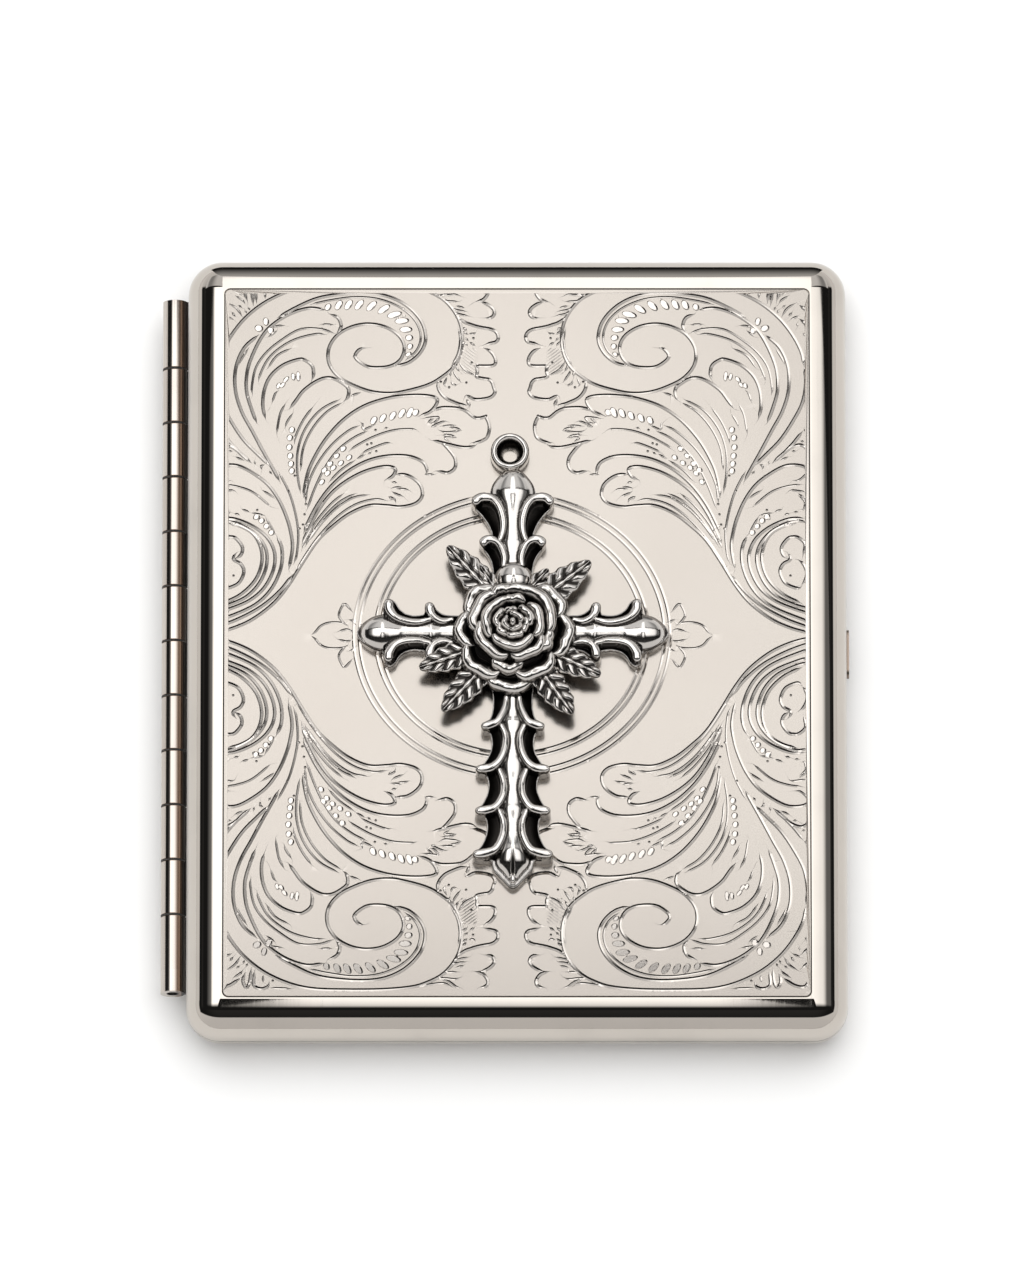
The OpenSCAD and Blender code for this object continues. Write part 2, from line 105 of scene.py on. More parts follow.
class Graph:
    """Short names for the maths in a node tree."""
    def __init__(self, nodes_, links_):
        self.nodes, self.links = nodes_, links_

    def put(self, socket, value):
        if isinstance(value, (int, float, tuple)):
            socket.default_value = value
        else:
            self.links.new(value, socket)

    def math(self, operation, a, b=None, c=None):
        node = add_node(self.nodes, "ShaderNodeMath", operation=operation)
        for socket, value in zip(node.inputs, (a, b, c)):
            if value is not None:
                self.put(socket, value)
        return node.outputs[0]

    def step(self, value, start, stop, low=0.0, high=1.0):
        node = add_node(self.nodes, "ShaderNodeMapRange", interpolation_type="SMOOTHSTEP")
        self.put(node.inputs["Value"], value)
        for key, number in (("From Min", start), ("From Max", stop), ("To Min", low), ("To Max", high)):
            self.put(node.inputs[key], number)
        return node.outputs["Result"]

    def mix(self, factor, a, b):
        node = add_node(self.nodes, "ShaderNodeMix", data_type="FLOAT")
        self.put(node.inputs["Factor"], factor)
        self.put(node.inputs["A"], a)
        self.put(node.inputs["B"], b)
        return node.outputs["Result"]

    def parts(self, vector):
        node = add_node(self.nodes, "ShaderNodeSeparateXYZ")
        self.links.new(vector, node.inputs[0])
        return node.outputs["X"], node.outputs["Y"], node.outputs["Z"]


def glossy_only(thing):
    """A light or card that shows only in reflections."""
    thing.visible_camera = False
    thing.visible_diffuse = False
    thing.visible_shadow = False
    thing.visible_transmission = False


def glowing_material(name, strength_of):
    """A glowing surface; strength_of(graph, x, y, z) gives its strength at a place in metres."""
    material, m_nodes, m_links = new_material(name)
    m_nodes.remove(m_nodes["Principled BSDF"])
    graph = Graph(m_nodes, m_links)
    place = add_node(m_nodes, "ShaderNodeNewGeometry")
    glow = add_node(m_nodes, "ShaderNodeEmission")
    graph.put(glow.inputs["Strength"], strength_of(graph, *graph.parts(place.outputs["Position"])))
    m_links.new(glow.outputs["Emission"], m_nodes["Material Output"].inputs["Surface"])
    return material


def flat_mesh(name, points):
    mesh = bpy.data.meshes.new(name)
    mesh.from_pydata([tuple(p) for p in points], [], [list(range(len(points)))])
    thing = bpy.data.objects.new(name, mesh)
    scene.collection.objects.link(thing)
    return thing


def square(name, low, high, z):
    (x0, y0), (x1, y1) = low, high
    return flat_mesh(name, [(x0, y0, z), (x1, y0, z), (x1, y1, z), (x0, y1, z)])


sweep = square("sweep", (-6, -6), (6, 6), 0)
sweep_material, m_nodes, m_links = new_material("white_sweep")
sweep_shader = m_nodes["Principled BSDF"]
sweep_shader.inputs["Base Color"].default_value = (0.93, 0.93, 0.925, 1)
sweep_shader.inputs["Roughness"].default_value = 0.9
sweep_shader.inputs["Specular IOR Level"].default_value = 0.1
sweep.data.materials.append(sweep_material)


def overhead_strength(g, x, y, z):
    """Light panels over the case, seen from below: x to the right, y to the back."""
    out = g.math("ABSOLUTE", x)
    # side panels: sharp on the left, fading on the right, a soft front edge
    sides = g.math("MULTIPLY", g.step(x, -0.315, -0.215), g.step(x, 0.255, 0.50, 1, 0))
    tail = g.math("MULTIPLY", g.step(x, 0.0, 0.2), g.step(x, 0.30, 0.75, 0.18, 0.02))
    tail = g.math("MAXIMUM", g.step(x, -0.50, -0.26, 0.0, 0.12), tail)
    sides = g.math("MAXIMUM", sides, tail)
    sides = g.math("MULTIPLY", sides, g.step(y, -0.145, -0.02))
    sides = g.math("MULTIPLY", sides, g.step(x, -0.1, 0.26, 2.3, 1.55))
    # back panel, its far edge faded
    back_panel = g.step(y, 0.44, 0.95, 2.1, 0.30)
    # front strip, rounded toward the back
    bow = g.math("MULTIPLY", g.math("POWER", g.math("DIVIDE", out, 0.0405), 6.0), 0.17)
    strip = g.step(g.math("ADD", y, bow), 0.034, 0.050, 1, 0)
    strip = g.math("MULTIPLY", strip, g.step(y, -0.165, -0.085))
    strip = g.math("MULTIPLY", strip, g.step(y, -0.10, 0.02, 1.25, 2.0))
    strip = g.math("MULTIPLY", strip, g.step(out, 0.026, 0.0425, 1, 0.10))
    middle = g.mix(g.step(y, 0.052, 0.062), strip, back_panel)
    # the dark batten between side panel and middle leans outward to the front
    lean = g.math("ADD", g.math("MULTIPLY", g.math("MAXIMUM", g.math("SUBTRACT", 0.07, y), 0), 0.28), 0.043)
    front_half = g.math("LESS_THAN", y, 0.066)
    shade = g.math("MULTIPLY", g.step(g.math("SUBTRACT", out, lean), 0.0, 0.010), sides)
    inner = g.math("LESS_THAN", out, 0.0425)
    front = g.mix(inner, shade, middle)
    level = g.mix(front_half, sides, front)
    # behind the side panels: a dark line, then the pale back corners
    edge = g.math("SUBTRACT", y, g.math("ADD", g.math("MULTIPLY", out, 0.09), 0.166))
    line_width = g.math("ADD", g.math("MULTIPLY", out, 0.10), 0.003)
    corner_glow = g.mix(g.step(out, 0.16, 0.42), 0.85, 0.33)
    corner_glow = g.mix(g.step(out, 0.50, 0.66), corner_glow, 0.85)
    corner_glow = g.math("MULTIPLY", corner_glow, g.step(g.math("SUBTRACT", edge, line_width), 0.0, 0.03))
    corner_glow = g.mix(g.step(out, 0.038, 0.060, 1, 0), corner_glow, back_panel)
    return g.math("MAXIMUM", g.mix(g.step(edge, -0.006, 0.0), level, corner_glow), 0.015)


overhead = square("overhead_lights", (-0.75, -0.22), (0.75, 0.95), 0.415)
overhead.data.materials.append(glowing_material("overhead_glow", overhead_strength))
overhead.visible_camera = False
overhead.visible_diffuse = False
overhead.visible_shadow = False

card_behind = 0.030              # distance behind the case
card_height = 0.034
card_half_width = 0.050
back = cad_box[1][1] + card_behind


def card_outline(count=40):
    """A card with rounded shoulders, so that its picture in the far rim runs out in points."""
    points = [(-card_half_width, back, 0.0005)]
    for i in range(count + 1):
        x = card_half_width*(2*i/count - 1)
        points.append((x, back, 0.0006 + (card_height - 0.0006)*(1 - abs(x/card_half_width)**5)**0.5))
    return points + [(card_half_width, back, 0.0005)]


card = flat_mesh("grey_card", card_outline())
card.data.materials.append(glowing_material(
    "grey_card_shade", lambda g, x, y, z: g.step(z, 0.004, card_height, 0.01, 0.62)))
glossy_only(card)


def add_area_light(name, place, target, size, power, **settings):
    light = bpy.data.lights.new(name, "AREA")
    light.shape = "DISK"
    light.size = size
    light.energy = power
    thing = bpy.data.objects.new(name, light)
    thing.location = place
    thing.rotation_euler = (Vector(target) - Vector(place)).to_track_quat("-Z", "Y").to_euler()
    scene.collection.objects.link(thing)
    thing.visible_camera = False
    for key, value in settings.items():
        setattr(thing, key, value)
    return thing


add_area_light("floor_fill", (0, 0.38, 1.4), (0, 0, 0), 2.4, 30.0, visible_glossy=False)
add_area_light("front_fill", (0, -1.3, 0.7), (0, 0, 0), 1.0, 3.0, visible_glossy=False)

world = bpy.data.worlds.new("studio")
scene.world = world
world.use_nodes = True
g = Graph(world.node_tree.nodes, world.node_tree.links)
direction = add_node(g.nodes, "ShaderNodeTexCoord")
along_x, ahead, up = g.parts(direction.outputs["Generated"])
side = g.math("ABSOLUTE", along_x)
dark = g.step(up, 0.25, 0.85, 0.008, 0.10)
dark = g.mix(g.step(ahead, -0.25, 0.05), g.step(up, 0.5, 0.95, 0.014, 0.034), dark)
# the pale wall that shows at the corners of the far rim
pale = g.step(up, 0.25, 0.62, 0.85, 0.45)
corner_line = g.math("ADD", g.math("MULTIPLY", side, 0.38), g.math("MULTIPLY", up, 0.146))
beyond = g.math("SUBTRACT", ahead, corner_line)
room = g.mix(g.step(beyond, -0.02, 0.04), dark, pale)
# the pale board in front and the low sides
low_side = g.math("SUBTRACT", g.math("MULTIPLY", side, 0.268), up)
low_front = g.math("SUBTRACT", g.math("MULTIPLY", ahead, -0.90), up)
low = g.math("MAXIMUM", low_side, low_front)
board = g.step(ahead, -1.0, 0.0, 0.80, 0.95)
room = g.mix(g.step(low, -0.03, 0.03), room, board)
g.put(g.nodes["Background"].inputs["Strength"], room)
g.nodes["Background"].inputs["Color"].default_value = (1.0, 0.99, 0.98, 1)


# ---------- shells ----------
# Two stamped halves, nickel plated and buffed: mirrors with a faint uneven haze and hairlines from
# wiping along the long side. The plain plate let into the base is brushed lengthwise.
def set_material(material, *names):
    for name in names:
        mesh = nodes[name].data
        for i in range(len(mesh.materials)):
            mesh.materials[i] = material


class Surface(Graph):
    """A new material, with short names for the maps that its shader takes."""
    def __init__(self, name):
        self.material, nodes_, links_ = new_material(name)
        super().__init__(nodes_, links_)
        self.shader = nodes_["Principled BSDF"]
        self.place = add_node(nodes_, "ShaderNodeTexCoord").outputs["Object"]

    def set(self, values):
        for key, value in values.items():
            self.put(self.shader.inputs[key], value)

    def noise(self, scale, detail, stretch=None, turn=0.0, distortion=0.0):
        place = self.place
        if stretch:
            spread = add_node(self.nodes, "ShaderNodeMapping")
            spread.inputs["Scale"].default_value = stretch
            spread.inputs["Rotation"].default_value = (0, 0, turn)
            self.links.new(place, spread.inputs["Vector"])
            place = spread.outputs["Vector"]
        texture = add_node(self.nodes, "ShaderNodeTexNoise")
        for key, value in (("Scale", scale), ("Detail", detail), ("Distortion", distortion),
                           ("Vector", place)):
            self.put(texture.inputs[key], value)
        return texture.outputs["Fac"]

    def layer(self, name):
        return add_node(self.nodes, "ShaderNodeAttribute", attribute_name=name).outputs["Fac"]

    def blend(self, factor, a, b, **settings):
        """A mix of two colours."""
        node = add_node(self.nodes, "ShaderNodeMix", data_type="RGBA", **settings)
        for key, value in (("Factor", factor), ("A", a), ("B", b)):
            self.put(node.inputs[key], value)
        return node.outputs["Result"]

    def bump(self, height, strength, distance):
        node = add_node(self.nodes, "ShaderNodeBump")
        for key, value in (("Strength", strength), ("Distance", distance), ("Height", height)):
            self.put(node.inputs[key], value)
        self.set({"Normal": node.outputs["Normal"]})


def worn_metal(name, colour, roughness, haze=0.02, hairline=0.05, stretch=0.03, grain=0.0, stain_and_shade_of=None):
    """Metal with an uneven polish and hairlines along y; stain_and_shade_of(graph, x, y, z) adds tarnish,
    on the hinge also painted shade, 0 to 1.
    """
    s = Surface(name)
    cloud, lines = s.noise(110, 4), s.noise(1500, 3, (1, stretch, 1))
    stain_and_shade = stain_and_shade_of(s, *s.parts(s.place)) if stain_and_shade_of else 0.0
    clean = s.blend(s.math("MULTIPLY", cloud, s.step(cloud, 0.45, 0.75)),
                    (*colour, 1), (*(0.90*c for c in colour), 1))
    # white, brown, then black: tarnish, and on the hinge painted shade
    tarnish_and_shade = add_node(s.nodes, "ShaderNodeValToRGB")
    tarnish_and_shade.color_ramp.elements[0].color = (1, 1, 1, 1)
    tarnish_and_shade.color_ramp.elements[1].color = (0.012, 0.010, 0.009, 1)
    brown = tarnish_and_shade.color_ramp.elements.new(0.5)
    brown.color = (0.36, 0.27, 0.215, 1)
    s.put(tarnish_and_shade.inputs["Fac"], stain_and_shade)
    rough = s.math("MULTIPLY_ADD", cloud, haze, roughness - haze/2)
    rough = s.math("MULTIPLY_ADD", s.step(lines, 0.60, 0.74), hairline, rough)
    s.set({"Base Color": s.blend(1, clean, tarnish_and_shade.outputs["Color"], blend_type="MULTIPLY"), "Metallic": 1,
           "Roughness": s.math("MULTIPLY_ADD", stain_and_shade, 0.25, rough)})
    if stain_and_shade_of:
        s.set({"Metallic": s.step(stain_and_shade, 0.60, 0.92, 1, 0), "Specular IOR Level": 0.15})
    s.bump(s.math("MULTIPLY_ADD", s.noise(5200, 2), grain, lines), 0.03 + grain, 0.00002)
    return s.material


set_material(worn_metal("polished_nickel", (0.545, 0.505, 0.46), 0.035), "base_shell", "lid_shell")
set_material(worn_metal("brushed_nickel", (0.50, 0.465, 0.43), 0.24, 0.08, 0.14, 0.012, 0.5), "base_plate")


# ---------- cross ----------
# A cast cross in antiqued silver: a smooth spine that ends in buds, with pairs of curled leaf
# ridges along it. Each ridge shuts off a hollow that is left dark with oxide. It is riveted on.
def spline(points, step, closed=False):
    """A smooth line through given points, with a point about every step."""
    p = np.array(points, float)
    if closed:
        p = np.vstack([p[-1], p, p[0], p[1]])
    else:
        p = np.vstack([2*p[0] - p[1], p, 2*p[-1] - p[-2]])
    rows = []
    for a, b, c, d in zip(p, p[1:], p[2:], p[3:]):
        count = max(1, int(round(np.linalg.norm(c - b)/step)))
        t = (np.arange(count)/count)[:, None]
        rows.append(0.5*(2*b + (c - a)*t + (2*a - 5*b + 4*c - d)*t**2 + (3*b - a - 3*c + d)*t**3))
    if not closed:
        rows.append(p[-2][None])
    return np.vstack(rows)


def point_tree(points):
    tree = KDTree(len(points))
    for i, (x, y) in enumerate(points):
        tree.insert((x, y, 0), i)
    tree.balance()
    return tree


def nearest(points, lines):
    """For each point: distance to the nearest line, and how far along that line it lies, 0 to 1."""
    tree = point_tree([spot for line in lines for spot in line])
    along = np.array([i/max(1, len(line) - 1) for line in lines for i in range(len(line))])
    found = [tree.find((x, y, 0)) for x, y in points]
    return np.array([hit[2] for hit in found]), along[[hit[1] for hit in found]]


def inside(points, outline):
    """Which points lie in a closed outline."""
    x, y = points[:, 0], points[:, 1]
    hit = np.zeros(len(points), bool)
    for (x0, y0), (x1, y1) in zip(outline, np.roll(outline, -1, 0)):
        if y0 == y1:
            continue
        crosses = ((y0 > y) != (y1 > y)) & (x < (x1 - x0)*(y - y0)/(y1 - y0) + x0)
        hit ^= crosses
    return hit


def ease(value, start, stop):
    t = np.clip((value - start)/(stop - start), 0, 1)
    return t*t*(3 - 2*t)


def mesh_piece(name, points, faces, material, hollow=None, smooth=True):
    """A mesh object from points in millimetres; hollow is how dark it is: oxide, on the cross also painted
    shadow.
    """
    mesh = bpy.data.meshes.new(name)
    mesh.from_pydata([(x*MM, y*MM, z*MM) for x, y, z in points], [], faces)
    mesh.validate()
    if hollow is not None:
        set_layer(mesh, "hollow", hollow)
    mesh.materials.append(material)
    if smooth:
        mesh.polygons.foreach_set("use_smooth", [True]*len(mesh.polygons))
    piece = bpy.data.objects.new(name, mesh)
    scene.collection.objects.link(piece)
    return piece


def set_layer(mesh, name, values):
    layer = mesh.attributes.new(name, "FLOAT", "POINT")
    layer.data.foreach_set("value", np.asarray(values, dtype=np.float32))


def antique_silver(name, bright, dark, bright_roughness, dark_roughness):
    """Polished silver that keeps dark oxide in its hollows; on the cross the same layer also holds painted
    shadow.
    """
    s = Surface(name)
    speckle = s.noise(1400, 5)
    # the hollow layer is oxide, and on the cross also painted shadow at the spine's foot and in the crease
    oxide = s.step(s.math("MULTIPLY_ADD", speckle, 0.4, s.layer("hollow")), 0.38, 0.98)
    s.set({"Metallic": 1, "Base Color": s.blend(oxide, (*bright, 1), (*dark, 1)),
           "Roughness": s.mix(oxide, bright_roughness, dark_roughness)})
    s.bump(speckle, 0.10, 0.00004)
    return s.material


silver = antique_silver("antique_silver", (0.64, 0.61, 0.58), (0.040, 0.036, 0.033), 0.12, 0.28)

cross_place = np.array([-0.5, 0.6])    # middle of the cross on the plate
plate_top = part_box("lid_plate")[1][2]/MM
cross_step = 0.105                      # spacing of the casting's points

# right half of the outline, from the eye down to the foot
cross_outline = [
    (0.35, 20.8), (1.2, 20.3), (2.0, 19.4), (2.5, 18.6), (2.72, 17.9), (2.85, 17.55), (3.4, 17.6),
    (4.2, 17.4), (4.8, 17.0), (5.0, 16.45), (4.8, 15.9), (4.35, 15.4), (3.8, 14.8), (3.1, 13.8),
    (2.65, 12.8), (2.55, 12.15), (2.95, 12.1), (3.5, 11.95), (3.95, 11.6), (4.05, 11.1),
    (3.7, 10.6), (3.2, 10.0), (2.75, 9.2), (2.5, 8.3), (2.4, 7.0), (2.6, 5.2), (3.6, 3.1),
    (5.8, 2.3), (7.4, 2.2), (8.4, 2.35), (9.1, 2.8), (9.6, 3.4), (10.1, 3.65), (10.55, 3.45),
    (10.7, 2.95), (10.75, 2.4), (11.2, 2.25), (12.1, 2.2), (13.0, 2.45), (13.7, 3.0),
    (14.2, 3.8), (14.8, 4.2), (15.4, 4.05), (15.7, 3.5), (15.75, 2.9), (15.8, 2.35),
    (16.4, 2.2), (17.1, 1.95), (17.8, 1.5), (18.4, 0.95), (18.75, 0.45), (18.9, 0)]
cross_outline += [(x, -y) for x, y in cross_outline[-2:25:-1]]
cross_outline += [
    (2.6, -5.2), (2.45, -7.4), (2.4, -8.6), (2.45, -9.7), (2.7, -10.7), (3.2, -11.4),
    (3.7, -11.7), (3.85, -12.1), (3.6, -12.45), (3.05, -12.55), (2.75, -12.8), (2.6, -13.4),
    (2.55, -14.2), (2.75, -15.1), (3.2, -16.0), (3.8, -16.75), (4.35, -17.1), (4.5, -17.5),
    (4.2, -17.85), (3.6, -17.95), (3.2, -18.1), (3.0, -18.7), (2.95, -19.5), (3.15, -20.4),
    (3.6, -21.4), (4.1, -22.0), (4.5, -22.4), (4.55, -22.8), (4.2, -23.1), (3.6, -23.2),
    (3.3, -23.4), (3.15, -24.0), (3.15, -24.9), (3.4, -25.9), (3.9, -26.9), (4.5, -27.5),
    (4.85, -27.95), (4.8, -28.35), (4.4, -28.6), (3.6, -28.65), (2.8, -28.6), (2.55, -28.95),
    (2.5, -29.4), (2.3, -29.9), (1.9, -30.35), (1.5, -30.8), (1.05, -31.3), (0.62, -31.75), (0.2, -32.0)]
# ridges of the right half: along the spine, then out to a curled end
cross_ridges = [
    [(1.54, 11.6), (1.25, 12.5), (1.14, 13.6), (1.32, 14.8), (1.76, 15.9), (2.5, 16.65),
     (3.5, 16.85), (4.2, 16.65), (4.5, 16.35)],
    [(1.12, 8.3), (1.02, 9.3), (1.32, 10.3), (1.83, 11.1), (2.6, 11.5), (3.3, 11.4), (3.6, 11.1)],
    [(0.77, -8.3), (0.95, -9.6), (1.46, -10.8), (2.05, -11.55), (2.9, -11.9), (3.35, -12)],
    [(1.37, -11.9), (0.93, -12.9), (0.87, -14.1), (1.17, -15.4), (1.76, -16.5), (2.6, -17.2),
     (3.5, -17.4), (4, -17.45)],
    [(1.62, -17.5), (1.15, -18.8), (1.12, -20.3), (1.58, -21.5), (2.3, -22.3), (3.3, -22.6),
     (4, -22.7)],
    [(1.62, -22.6), (1.15, -23.9), (1.17, -25.4), (1.62, -26.7), (2.3, -27.6), (3.5, -28),
     (4.3, -28.15)]]
arm_ridges = [
    [(10.1, 1.48), (11.3, 1.17), (12.5, 1.17), (13.6, 1.43), (14.4, 1.9), (14.95, 2.7),
     (15.05, 3.4)],
    [(7.4, 1.43), (8.5, 1.25), (9.3, 1.52), (9.8, 1.99), (10.05, 2.6), (10.1, 3)]]
# the smooth spine and its buds: place along the arm, half width, height
top_spine = [(0, 1.15, 2.5), (8.3, 1.1, 2.5), (9.3, 1, 2.5), (10.3, 1.3, 2.55), (11.2, 1.6, 2.6),
             (11.6, 1.49, 2.6), (12.5, 1.23, 2.6), (13.6, 1.12, 2.6), (14.8, 1.3, 2.65),
             (15.9, 1.6, 2.75), (16.6, 2.15, 2.85), (17.4, 2.55, 2.95), (18.0, 2.6, 2.95),
             (18.8, 2.35, 2.85), (19.5, 1.95, 2.65), (20.2, 1.52, 2.3), (20.6, 1.15, 1.9),
             (20.9, 0.55, 1.4)]
side_spine = [(0, 1.41, 2.5), (7.4, 1.38, 2.5), (8.5, 1.25, 2.5), (9.3, 1.47, 2.55), (9.9, 1.8, 2.6),
              (10.3, 1.44, 2.6), (11.3, 1.17, 2.6), (12.5, 1.17, 2.65), (13.6, 1.41, 2.7),
              (14.4, 1.75, 2.8), (15.2, 2.15, 2.9), (16.0, 2.25, 2.95), (16.9, 2, 2.8),
              (17.7, 1.54, 2.5), (18.3, 1.1, 2.0), (18.8, 0.45, 1.3)]
foot_spine = [(0, 0.85, 2.5), (8.3, 0.85, 2.5), (9.6, 0.99, 2.5), (10.8, 1.43, 2.55), (11.3, 1.54, 2.6),
              (11.9, 1.35, 2.6), (12.9, 0.99, 2.6), (14.1, 0.95, 2.6), (15.4, 1.2, 2.65), (16.5, 1.56, 2.7),
              (17.5, 1.52, 2.7), (18.8, 1.17, 2.65), (20.3, 1.17, 2.65), (21.5, 1.51, 2.7),
              (22.2, 1.56, 2.75), (22.6, 1.52, 2.75), (23.9, 1.2, 2.7), (25.4, 1.23, 2.75),
              (26.7, 1.5, 2.85), (27.6, 1.8, 2.95), (28.3, 2.0, 2.95), (29.0, 2.05, 2.85),
              (29.6, 1.75, 2.65), (30.2, 1.2, 2.4), (30.8, 0.7, 2.1), (31.3, 0.25, 1.8)]
ridge_radius = 0.48
ridge_top = (2.65, 3.1)                # where it leaves the spine, at its curled end
hollow_floor = 0.95
lip_height = 1.9
foot_ledge = 28.5                      # from here on a pale ledge runs round the foot's bud


def spine_height(along, across, table):
    """A rounded spine, and where its foot is in shadow."""
    u, w, h = spline([(a, b*4, c*4) for a, b, c in table], 0.25).T*[[1], [0.25], [0.25]]
    half, rise = np.interp(along, u, w), np.interp(along, u, h)
    share = across/np.maximum(half, 0.05)
    there = (along >= 0) & (along <= u[-1]) & (share < 1)
    height = np.where(there, rise - 0.46*half*np.clip(share, 0, 1)**2.3, 0)
    return height, np.where(there, ease(share, 0.84, 1.0)*0.8, 0)


def cross_height(points, edge_distance):
    """Height of the casting, and how dark it is: oxide, with painted shadow at the spine's foot and in the
    bud's crease.
    """
    x, y = np.abs(points[:, 0]), points[:, 1]
    core, shade = np.zeros(len(x)), np.zeros(len(x))
    for along, across, table in ((y, x, top_spine), (-y, x, foot_spine), (x, np.abs(y), side_spine)):
        height, dark = spine_height(along, across, table)
        shade = np.where(height > core, dark, shade)
        core = np.maximum(core, height)
    # the foot's bud is parted by a crease that opens toward its tip, and closes on a small bead
    opening = 0.09 + 0.10*ease(-y, 27.4, 30.2)
    crease = 0.45*np.exp(-(x/opening)**2)*ease(-y, 26.8, 29.2)*(1 - ease(-y, 30.3, 30.7))
    core = core - crease*(core > 0)
    # painted shade in the bud's crease
    shade = np.maximum(shade, 1.6*crease)
    bead = np.hypot(x, np.clip(np.abs(y + 31.0) - 0.2, 0, None))
    on_bead = bead < 0.36
    core = np.where(on_bead, 1.95 + np.sqrt(np.clip(0.36**2 - bead**2, 0, 1)), core)
    shade = np.where(on_bead, 0, shade)
    bowl = hollow_floor + (lip_height - hollow_floor)*np.exp(-edge_distance/0.55)
    ledge = -y > foot_ledge
    bowl = np.where(ledge, 1.5, bowl)
    lines = [spline(path, 0.05) for path in cross_ridges + arm_ridges]
    lines += [spline([(a, -b) for a, b in path], 0.05) for path in arm_ridges]
    gap, along = nearest(np.column_stack([x, y]), lines)
    top = ridge_top[0] + (ridge_top[1] - ridge_top[0])*ease(along, 0, 0.8)
    radius = ridge_radius*(0.74 + 0.26*ease(along, 0, 0.35) + 0.30*ease(along, 0.62, 0.92))
    core = np.where((gap < radius + 0.10) & (core < top), np.minimum(core, top - 0.80), core)
    ridge = np.where(gap < radius, top - 0.8*radius + 0.8*np.sqrt(np.clip(radius**2 - gap**2, 0, 1)), 0)
    height = np.maximum(np.maximum(core, ridge), bowl)
    dark = 1 - ease(height, 1.45, 2.1)
    dark = np.where(ledge & (core < bowl), 0.45, dark)
    dark = np.where(height == core, np.maximum(dark, shade), dark)
    beside = np.exp(-((gap - radius)/0.10)**2)
    dark = np.maximum(dark, beside*(edge_distance > 0.15))
    # the upper edge is rounded
    height -= 0.22*(1 - np.sqrt(np.clip(1 - (1 - np.clip(edge_distance/0.22, 0, 1))**2, 0, 1)))
    return height, dark


def relief(name, outline, height_of, step, place, base_z, material, wall_hollow=0.2):
    """A closed casting: a top surface over an outline, straight walls, and a flat back."""
    low, high = outline.min(0), outline.max(0)
    xs, ys = np.arange(low[0], high[0], step), np.arange(low[1], high[1], step)
    grid = np.array(np.meshgrid(xs, ys)).reshape(2, -1).T
    grid[:, 0] += np.where((np.round((grid[:, 1] - low[1])/step) % 2) == 1, step/2, 0)
    grid = grid[inside(grid, outline)]
    shut = [spline(outline, 0.05, closed=True)]
    edge, _ = nearest(grid, shut)
    grid = grid[edge > step*0.45]
    flat = np.vstack([outline, grid])
    count = len(outline)
    points, _, faces, *_ = delaunay_2d_cdt(
        [Vector(p) for p in flat], [(i, (i + 1) % count) for i in range(count)],
        [list(range(count))], 1, 1e-7)
    flat = np.array([tuple(p) for p in points])
    edge, _ = nearest(flat, shut)
    heights, hollow = height_of(flat, edge)
    top = [(x + place[0], y + place[1], base_z + z) for (x, y), z in zip(flat, heights)]
    back = [(x + place[0], y + place[1], base_z) for x, y in flat]
    size = len(top)
    all_faces = [tuple(f) for f in faces] + [tuple(size + i for i in reversed(f)) for f in faces]
    use = set()
    for face in faces:
        use |= set(zip(face, list(face[1:]) + [face[0]]))
    for a, b in sorted(use):
        if (b, a) not in use:
            all_faces.append((b, a, size + a, size + b))
    hollow = np.where(edge < 0.03, wall_hollow, hollow)
    hollow = np.concatenate([hollow, np.full(size, wall_hollow)])
    return mesh_piece(name, top + back, all_faces, material, hollow)


cross_line = spline(cross_outline + [(-x, y) for x, y in reversed(cross_outline)], cross_step, closed=True)
cross_piece = relief("cross_casting", cross_line, cross_height, cross_step, cross_place, plate_top, silver)

eye_place = cross_place + np.array([-0.35, 22.75])
# section of the eye ring: out from its middle, up, and how dark
eye_section = [(0.80, 0.0, 0.2), (0.95, 0.9, 1.0), (1.10, 1.5, 1.0), (1.35, 2.1, 0.85), (1.55, 2.4, 0.5),
               (1.68, 2.56, 0.05), (1.82, 2.66, 0.0), (1.97, 2.68, 0.0), (2.12, 2.62, 0.0),
               (2.25, 2.45, 0.0), (2.33, 2.2, 0.05), (2.36, 1.8, 0.15), (2.36, 0.9, 0.3), (2.30, 0.0, 0.3)]


def turned(name, place, section, count, base_z, material):
    """A piece of revolution from a closed section of (radius, height, dark)."""
    points, faces, hollow = [], [], []
    width = len(section)
    for i in range(count):
        turn = 2*math.pi*i/count
        for out, up, dark in section:
            points.append((place[0] + out*math.cos(turn), place[1] + out*math.sin(turn), base_z + up))
            hollow.append(dark)
    for i in range(count):
        for k in range(width):
            a, b = i*width + k, i*width + (k + 1) % width
            c, d = ((i + 1) % count)*width + (k + 1) % width, ((i + 1) % count)*width + k
            faces.append((a, d, c, b))
    return mesh_piece(name, points, faces, material, hollow)


eye = turned("cross_eye", eye_place, eye_section[::-1], 72, plate_top, silver)

ball_place = cross_place + np.array([0.1, 6.7])
ball_section = [(2.34*math.cos(turn), 1.6 + 1.75*math.sin(turn), 0.0)
                for turn in np.linspace(0, math.pi/2, 16)[:-1]]
ball_section += [(0.02, 3.35, 0), (0.02, 0.3, 0), (2.3, 0.3, 0.6)]
ball = turned("cross_ball", ball_place, ball_section, 56, plate_top, silver)

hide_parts("cross")
for piece in (cross_piece, eye, ball):
    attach(piece, "lid")


